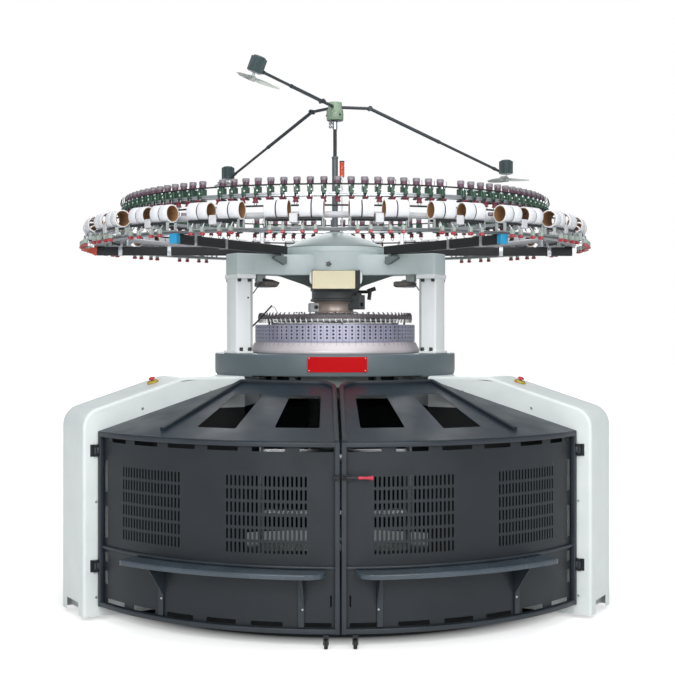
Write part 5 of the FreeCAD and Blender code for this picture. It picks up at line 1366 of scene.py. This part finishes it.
# moulded nylon pulleys, dusty mauve below and grey above, and dark red yarn wheels that shine a little more
pulley_mauve = skin("pulley_nylon_mauve", "#6c4859", "#7a5568", 0.42, 3.0, 0.08)
pulley_grey = skin("pulley_nylon_grey", "#857e85", "#948d93", 0.40, 3.0, 0.08)
wheel_red = skin("yarn_wheel_dark_red", "#6d2334", "#7c2b3d", 0.38, 3.0, 0.05)
body = joined(block((-13.5, -1248, 2212), (13.5, -1206, 2248), 3.0),
              block((-10, -1262, 2200), (10, -1244, 2240), 3.0))
clamp = joined(block((-9, -1256, 2178), (9, -1249, 2226), 1.5),
               block((-8, -1252, 2180), (8, -1198, 2190), 1.5))
WHEEL_R = 1262
low_cup, high_cup, neck = [moved(spun(profile, 14), 0, -FEEDER_R) for profile in (
    [(12, 2250), (16, 2250.5), (18, 2253), (18, 2262), (15.5, 2264), (15.5, 2268)],
    [(15, 2270), (18.5, 2271), (19, 2273), (19, 2286), (17, 2290), (8, 2291)],
    [(17.2, 2264), (17.2, 2270)])]
wheel = moved(spun([(15, 2160), (17, 2161), (14, 2165), (12, 2172), (13, 2179), (16.5, 2183),
                    (15, 2186)], 12), 0, -WHEEL_R)
hub_pin = moved(spun([(4, 2184), (4, 2204)], 6), 0, -WHEEL_R)
eyelet = moved(spun([(2.5, 0), (4.6, 0.5), (4.6, 3.0), (2.5, 3.5)], 8), 0, 0, WHEEL_R)
eyelet = moved(sideways(eyelet), 9, 0, 2222)
hook = carried([(-6, -1250, 2180), (-7, -1262, 2152), (-2, -1270, 2141), (6, -1268, 2146), (9, -1262, 2160)],
               circle(1.7, 5), up=(1, 0.2, 0))
tension = carried([(8, -1256, 2236), (13, -1268, 2252), (14, -1262, 2276)], circle(1.8, 4), up=(1, 0.2, 0))
piece("feeder_bodies", repeated(body, feeders_at), feeder_green, stands_for=("feeder_housings",))
piece("feeder_clamps", repeated(clamp, feeders_at), feeder_dark)
piece("feeder_low_cups", repeated(joined(low_cup, neck), feeders_at), pulley_mauve,
      stands_for=("feeder_pulleys",))
piece("feeder_high_cups", repeated(high_cup, feeders_at), pulley_grey)
piece("feeder_yarn_wheels", repeated(wheel, feeders_at), wheel_red)
small_cap = moved(spun([(5, 2236), (6, 2237), (6, 2246), (4, 2247)], 8), -8, -1256, 0)
bright_tab = block((2, -1257.5, 2184), (8, -1255.5, 2200), 0.8)
piece("feeder_hooks", repeated(joined(hook, tension, hub_pin), feeders_at), black_steel)
piece("feeder_caps", repeated(joined(small_cap, bright_tab), feeders_at), aluminium)
piece("feeder_eyelets", repeated(eyelet, feeders_at), ceramic)
belt = ring([(1243.5, 2247), (1245.5, 2247), (1245.5, 2255), (1243.5, 2255)], 240)
piece("feeder_belts", belt, rubber)

# %% [markdown]
# ## Elastane units
# On the outer rail 22 pairs of units each hold two cakes of elastane yarn on two black driving rollers. A
# cake is a white wall of yarn wound on a brown board tube, open at both ends. The tube and the wall are
# turned outlines laid on their side. Wound yarn has a fine ring pattern, with the thread drawn four times as
# coarse as it is, so that it can be seen. A white air duct runs round behind the cakes, held at each unit.

# %% Wound yarn and board
def wound(name, colour, shade, spacing):
    """Yarn on a package: rings round the package's own axis. The UV map's first value counts the distance
    along the axis in metres, and a wave whose length is the spacing in mm lifts and tints the surface."""
    material = bpy.data.materials.new(name)
    tree = emptied(material)
    along = add(tree, "ShaderNodeUVMap", uv_map="along")
    cloud = add(tree, "ShaderNodeTexNoise", {"Vector": along.outputs[0], "Scale": 60.0, "Detail": 3.0})
    rows = add(tree, "ShaderNodeTexWave", {"Vector": along.outputs[0], "Scale": 1000 / spacing / 20,
                                           "Distortion": 1.2, "Detail": 1.0}, bands_direction="X")
    mix = add(tree, "ShaderNodeMath", {0: cloud.outputs["Fac"], 1: rows.outputs["Fac"]}, operation="MULTIPLY")
    tone = add(tree, "ShaderNodeMix", {0: mix.outputs[0], 6: linear(colour), 7: linear(shade)},
               data_type="RGBA")
    lift = add(tree, "ShaderNodeBump", {"Height": rows.outputs["Fac"], "Distance": 0.0004, "Strength": 0.5})
    surface = add(tree, "ShaderNodeBsdfPrincipled", {"Base Color": tone.outputs[2], "Roughness": 0.62,
                                                     "Normal": lift.outputs[0], "Sheen Weight": 0.25,
                                                     "Sheen Roughness": 0.5})
    add(tree, "ShaderNodeOutputMaterial", {"Surface": surface.outputs[0]})
    return material


yarn_white = wound("elastane_yarn_white", "#e9ebee", "#dadde2", 1.6)
# rolled brown board: matt and fibrous
board_brown = skin("brown_board_tube", "#8a6440", "#9c7550", 0.75, 3.0, 0.15)


PACKAGE_R, PACKAGE_Z = 1434.0, 2108.0
units_at = -0.7 + 360 / 22 * (np.arange(22) + 0.5)
both_at = np.concatenate([units_at - 3.4, units_at + 3.4])


def on_unit(profile):
    """A closed outline (r, x) turned about the axis of a unit's packages."""
    return moved(lengthwise(ring(profile, 28)), 0, -PACKAGE_R, PACKAGE_Z)


cakes = joined(*[on_unit([(41, a + 0.5), (43, a), (45.4, a + 0.4), (46.8, a + 2.2), (46.8, b - 2.2),
                          (45.4, b - 0.4), (43, b), (41, b - 0.5)]) for a, b in ((-59, -3), (3, 59))])
packages = piece("yarn_cakes", repeated(cakes, both_at), yarn_white, stands_for=("yarn_packages",), sharp=50)
for name, inner, outer, half, finish in (("yarn_tubes", 38, 41, 58, board_brown),
                                         ("yarn_spacers", 40.5, 43.5, 3.2, black_coat)):
    hoop = on_unit([(inner, -half), (outer, -half), (outer, half), (inner, half)])
    piece(name, repeated(hoop, both_at), finish)


def uv_along(thing, local):
    """A UV map whose first value is the place along the package in metres and whose second is the height,
    the same for every copy, because the copies follow one another in the mesh."""
    mesh = thing.data
    corner = np.empty(len(mesh.loops), np.int32)
    mesh.loops.foreach_get("vertex_index", corner)
    point = local[corner % len(local)] * 0.001
    layer = mesh.uv_layers.new(name="along")
    layer.data.foreach_set("uv", np.stack([point[:, 0], point[:, 2]], -1).astype(np.float32).ravel())
    print(thing.name, "uv from", len(local), "points")


uv_along(packages, cakes[0])

# %% Rollers, cradles and sensors
HALF = 144.0
roller = [moved(lengthwise(spun([(5.5, -HALF + 4), (7, -HALF + 5), (7, HALF - 5), (5.5, HALF - 4)], 12)),
                0, -PACKAGE_R + y, 2058.5) for y in (-27, 27)]
cradle = [block((x - 2, -PACKAGE_R - y - 9, 2021), (x + 2, -PACKAGE_R - y + 9, 2062), 1.0)
          for x in (-HALF + 2, HALF - 2) for y in (-27, 27)]
cradle.append(block((-HALF, -PACKAGE_R + 18, 2020), (HALF, -PACKAGE_R + 34, 2026), 1.0))
cradle.append(block((-6, -PACKAGE_R + 30, 2021), (6, -1360, 2034), 2.0))
cradle.append(block((-6, -1372, 2021), (6, -1354, 2080), 2.0))
drive_box = block((-20.5, -PACKAGE_R - 40, 2038), (20.5, -PACKAGE_R + 34, 2086), 3.5)
piece("unit_rollers", repeated(joined(*roller), units_at), black_steel, stands_for=("package_cradles",))
piece("unit_cradles", repeated(joined(*cradle), units_at), casting_enamel)
piece("unit_drive_boxes", repeated(drive_box, units_at), housing_white)
piece("ring_air_duct", duct, housing_white)
# red lens of a stop-motion lamp, glossy under a clear coat, and its grey-green moulded housing
lamp_red = skin("sensor_lens_red", "#a5323b", "#b43f47", 0.30, 3.0, 0.03, coat=0.2, spread=0.03)
sensor_grey = skin("moulded_sensor_grey_green", "#98a39b", "#a5b0a8", 0.42, 3.0, 0.05)
stems, lenses, sensors = [], [], []
for x in (-112, -48, 48, 112):
    stems.append(carried([(x, -1462, 2050), (x, -1472, 2040), (x, -1482, 2026)], circle(3.5, 6),
                         up=(1, 0, 0)))
    lenses.append(block((x - 10, -1498, 1986), (x + 10, -1472, 2002), 4.0))
    sensors.append(block((x - 8, -1496, 2001), (x + 8, -1474, 2028), 3.0))
piece("unit_stop_stems", repeated(joined(*stems), units_at), zinc)
piece("unit_stop_lenses", repeated(joined(*lenses), units_at), lamp_red)
piece("unit_stop_sensors", repeated(joined(*sensors), units_at), sensor_grey)

# %% [markdown]
# ## Mast and signal lamp
# A telescoping mast stands on the dome: a blue-grey tube, a thinner steel tube in it and a clamp between
# them. A signal lamp with a dark cap stands beside it on a grey pole. All of it is lathe work.

# %% Mast, clamps and lamp
# blue-grey powder coat, smooth, so the mast has one clean upright highlight
mast_coat = skin("mast_powder_coat", "#4b5358", "#555e63", 0.35, 4.0, 0.06)
outer_tube = spun([(30, 2106), (30, 2116), (20, 2119), (18, 2122), (18, 2545), (20, 2547), (20, 2559),
                   (13, 2561)], 24)
inner_tube = spun([(11, 2560), (11, 2834), (10, 2835)], 20)
piece("mast_outer_tube", outer_tube, mast_coat, stands_for=("mast",))
piece("mast_inner_tube", inner_tube, black_steel)
clamp_screw = sideways(spun([(4, 0), (4, 14), (9, 16), (10, 18), (10, 26), (9, 28), (4, 29)], 10))
collar = spun([(13, 2722), (15, 2723), (15, 2767), (13, 2768)], 20)
clamps = [collar] + [turned(moved(clamp_screw, 0, -12, z), -55) for z in (2735, 2756)]
piece("mast_clamps", joined(*clamps), zinc)
# moulded polycarbonate lens, orange-red, clear enough to look deep
lens_orange = skin("signal_lens_orange", "#c8401f", "#d94f28", 0.22, 6.0, 0.02, coat=0.5, spread=0.03)
pole = spun([(9, 2090), (9, 2110), (5.5, 2112), (5.5, 2431), (12, 2433), (12, 2439)], 14)
lens = spun([(13.5, 2439), (15, 2440), (15, 2470), (14.2, 2471), (14.2, 2472.5), (15, 2473.5), (15, 2503),
             (14.2, 2504), (14.2, 2505.5), (15, 2506.5), (15, 2526), (14, 2527)], 24)
top = spun([(15, 2526.5), (15.3, 2528), (15.3, 2531), (13, 2534), (4, 2534.5)], 24)
piece("signal_pole", moved(pole, 42), aluminium, stands_for=("signal_lamp",))
piece("signal_lens", moved(lens, 42), lens_orange)
piece("signal_cap", moved(top, 42), black_coat)

# %% [markdown]
# ## Turning fan
# The hub on the mast carries three arms at about a third of a turn from one another. An arm leaves the hub
# level, is clamped at an elbow, and runs as a sleeve and a thinner tube to its motor. Two tubes carried
# along straight paths and a clamp at the elbow follow the real parts.

# %% Hub and arms
LEVEL, ELBOW_R = 2856.0, 215.0
# azimuth, reach, height and tilt of each motor
FAN_TIPS = {"front": (-22.0, 1120.0, 2889.0, 22.0), "right": (101.0, 1080.0, 2525.0, 0.0),
            "left": (-140.0, 1085.0, 2563.0, 0.0)}
# pale green enamel over a turned casting
hub_green = skin("hub_enamel_green", "#849a82", "#90a58e", 0.34, 5.0, 0.08)
hub = spun([(40, 2775), (49, 2776), (51, 2779), (51, 2836), (49, 2839.5), (44, 2841), (42.5, 2843),
            (42.5, 2880), (40.5, 2883.5), (36, 2885), (12, 2885)], 48)
piece("fan_hub_drum", hub, hub_green, "fan", stands_for=("fan_hub",))
skirt = spun([(13, 2769), (30, 2770), (46, 2773), (46, 2776), (30, 2777)], 32)
hub_screw = sideways(spun([(6, 49), (6, 54), (4.5, 55.5), (3, 55.5)], 6))
hub_screws = moved(joined(*[turned(hub_screw, a) for a in (33, 153, 273)]), 0, 0, 2806)
piece("fan_hub_bearing", joined(skirt, hub_screws), black_steel, "fan")
sleeves, thin, collars = [], [], []
for azimuth, reach, z, _ in FAN_TIPS.values():
    elbow = polar(ELBOW_R, azimuth, LEVEL)
    tip = polar(reach - 43.0, azimuth, z - 25.0)
    socket = elbow + (tip - elbow) * 0.53
    beside = polar(1.0, azimuth + 90, 0.0)
    ahead = (tip - elbow) / np.linalg.norm(tip - elbow)
    sleeves.append(carried([polar(41.0, azimuth, LEVEL), elbow], circle(9.5, 12)))
    sleeves.append(carried([elbow, socket], circle(10.5, 12)))
    thin.append(carried([socket - ahead * 6, tip - ahead * 4], circle(8.2, 10)))
    collars.append(carried([socket - ahead * 14, socket + ahead * 3], circle(11.6, 12)))
    collars.append(carried([tip - ahead * 44, tip - ahead * 26], circle(10.5, 10)))
    for side in (-1, 1):
        collars.append(carried([elbow + beside * side * 4, elbow + beside * side * 15.0], circle(14.5, 12)))
    collars.append(carried([elbow + beside * 15, elbow + beside * 24], circle(6, 6)))
piece("fan_arm_sleeves", joined(*sleeves), guard_coat, "fan", stands_for=("fan_arms",))
piece("fan_arm_tubes", joined(*thin), guard_coat, "fan")
piece("fan_arm_clamps", joined(*collars), guard_coat, "fan")


# %% [markdown]
# Each motor is a finned can of dark green-black enamel over a bright end bell, and its three-blade propeller
# is moulded in milky plastic. A fin is a point of the can's outline pushed out: the section's radius swings
# between two values round the can. A blade is a grid: the chord swells and the pitch falls towards the tip.

# %% Motors
def placed(shape, azimuth, reach, z, tilt):
    """A shape made round the origin, tilted about Y by the tilt and carried to the end of an arm."""
    a = math.radians(tilt)
    lean = np.array([[math.cos(a), 0, math.sin(a)], [0, 1, 0], [-math.sin(a), 0, math.cos(a)]])
    return turned(moved((shape[0] @ lean.T, shape[1]), 0, -reach, z), azimuth)


fin_points = np.arange(96)
fins = np.where(fin_points % 4 < 2, 42.8, 39.6)[:, None] * circle(1, 96)
finned = capped(np.stack([np.column_stack([fins * k, np.full(96, float(z))])
                          for z, k in ((-40, 0.9), (-38, 1.0), (34, 1.0), (37, 0.95))]))
crown_bell = spun([(34, 36), (34, 39), (31, 43), (24, 45.5), (8, 46)], 32)
foot_bell = spun([(20, -46), (30, -45), (36, -42), (38.5, -39), (38.5, -37)], 32)
shaft = spun([(7, -77), (7, -45)], 12)
socket_block = block((-13, 30, -38), (13, 44, -12), 3.0)
# dark green-black enamel, with a cold sheen on the fins' edges
motor_enamel = skin("motor_enamel_green_black", "#2b3b3d", "#35474a", 0.40, 3.0, 0.10)
cans, bells = [joined(*[placed(joined(*parts), *spot) for spot in FAN_TIPS.values()])
               for parts in ((finned, crown_bell, socket_block), (foot_bell, shaft))]
piece("fan_motor_cans", cans, motor_enamel, "fan", stands_for=("fan_motors",), sharp=30)
piece("fan_motor_bells", bells, aluminium, "fan")


# %% Propellers
def blade(reach=150.0, rows=15, columns=7, wall=1.6):
    """One blade as a closed shell. s runs along it and c across it: the half chord is 24 sqrt(sin(pi s'))
    with s' from 0.14 to 0.94, the pitch falls from 34 to 14 degrees, and the section is a shallow arch."""
    s, c = np.meshgrid(np.linspace(0, 1, rows), np.linspace(-1, 1, columns), indexing="ij")
    chord = 24 * np.sqrt(np.sin(math.pi * (0.14 + 0.80 * s)))
    pitch = np.radians(34 - 20 * s)
    out = 12 + (reach - 12.5) * s
    arch = 3.0 * (1 - c * c)
    upper = np.stack([chord * c * np.cos(pitch) - arch * np.sin(pitch), -out,
                      chord * c * np.sin(pitch) + arch * np.cos(pitch)], -1)
    return pierced(upper, upper - [0, 0, wall], np.ones((rows - 1, columns - 1), bool))


def milky(name, colour, shade):
    """Milky moulded plastic: a plain skin that lets light through, mixed with a translucent shader."""
    material = skin(name, colour, shade, 0.35, 3.0, 0.03, spread=0.04)
    tree = material.node_tree
    output = next(n for n in tree.nodes if n.bl_idname == "ShaderNodeOutputMaterial")
    front = output.inputs["Surface"].links[0].from_socket
    glow = add(tree, "ShaderNodeBsdfTranslucent", {"Color": linear(colour)})
    half = add(tree, "ShaderNodeMixShader", {0: 0.35, 1: front, 2: glow.outputs[0]})
    tree.links.new(half.outputs[0], output.inputs["Surface"])
    return material


# moulded translucent polypropylene: milky, so the sky shows through the thin blades as pale grey
milky_plastic = milky("translucent_polypropylene", "#c3c8c4", "#ced2ce")
spinner = spun([(17, -89), (18, -86), (18, -66), (15, -61), (8, -60)], 24)
blades = moved(repeated(blade(), np.arange(3) * 120), 0, 0, -75)
for name, spot in FAN_TIPS.items():
    body = f"propeller_{name}"
    piece(f"{body}_blades", placed(joined(spinner, blades), *spot), milky_plastic, body, stands_for=(body,),
          sharp=35)

# %% [markdown]
# ## View transform
# The render shows the scene through Blender's Standard view transform.

# %% View transform
bpy.context.scene.view_settings.view_transform = "Standard"
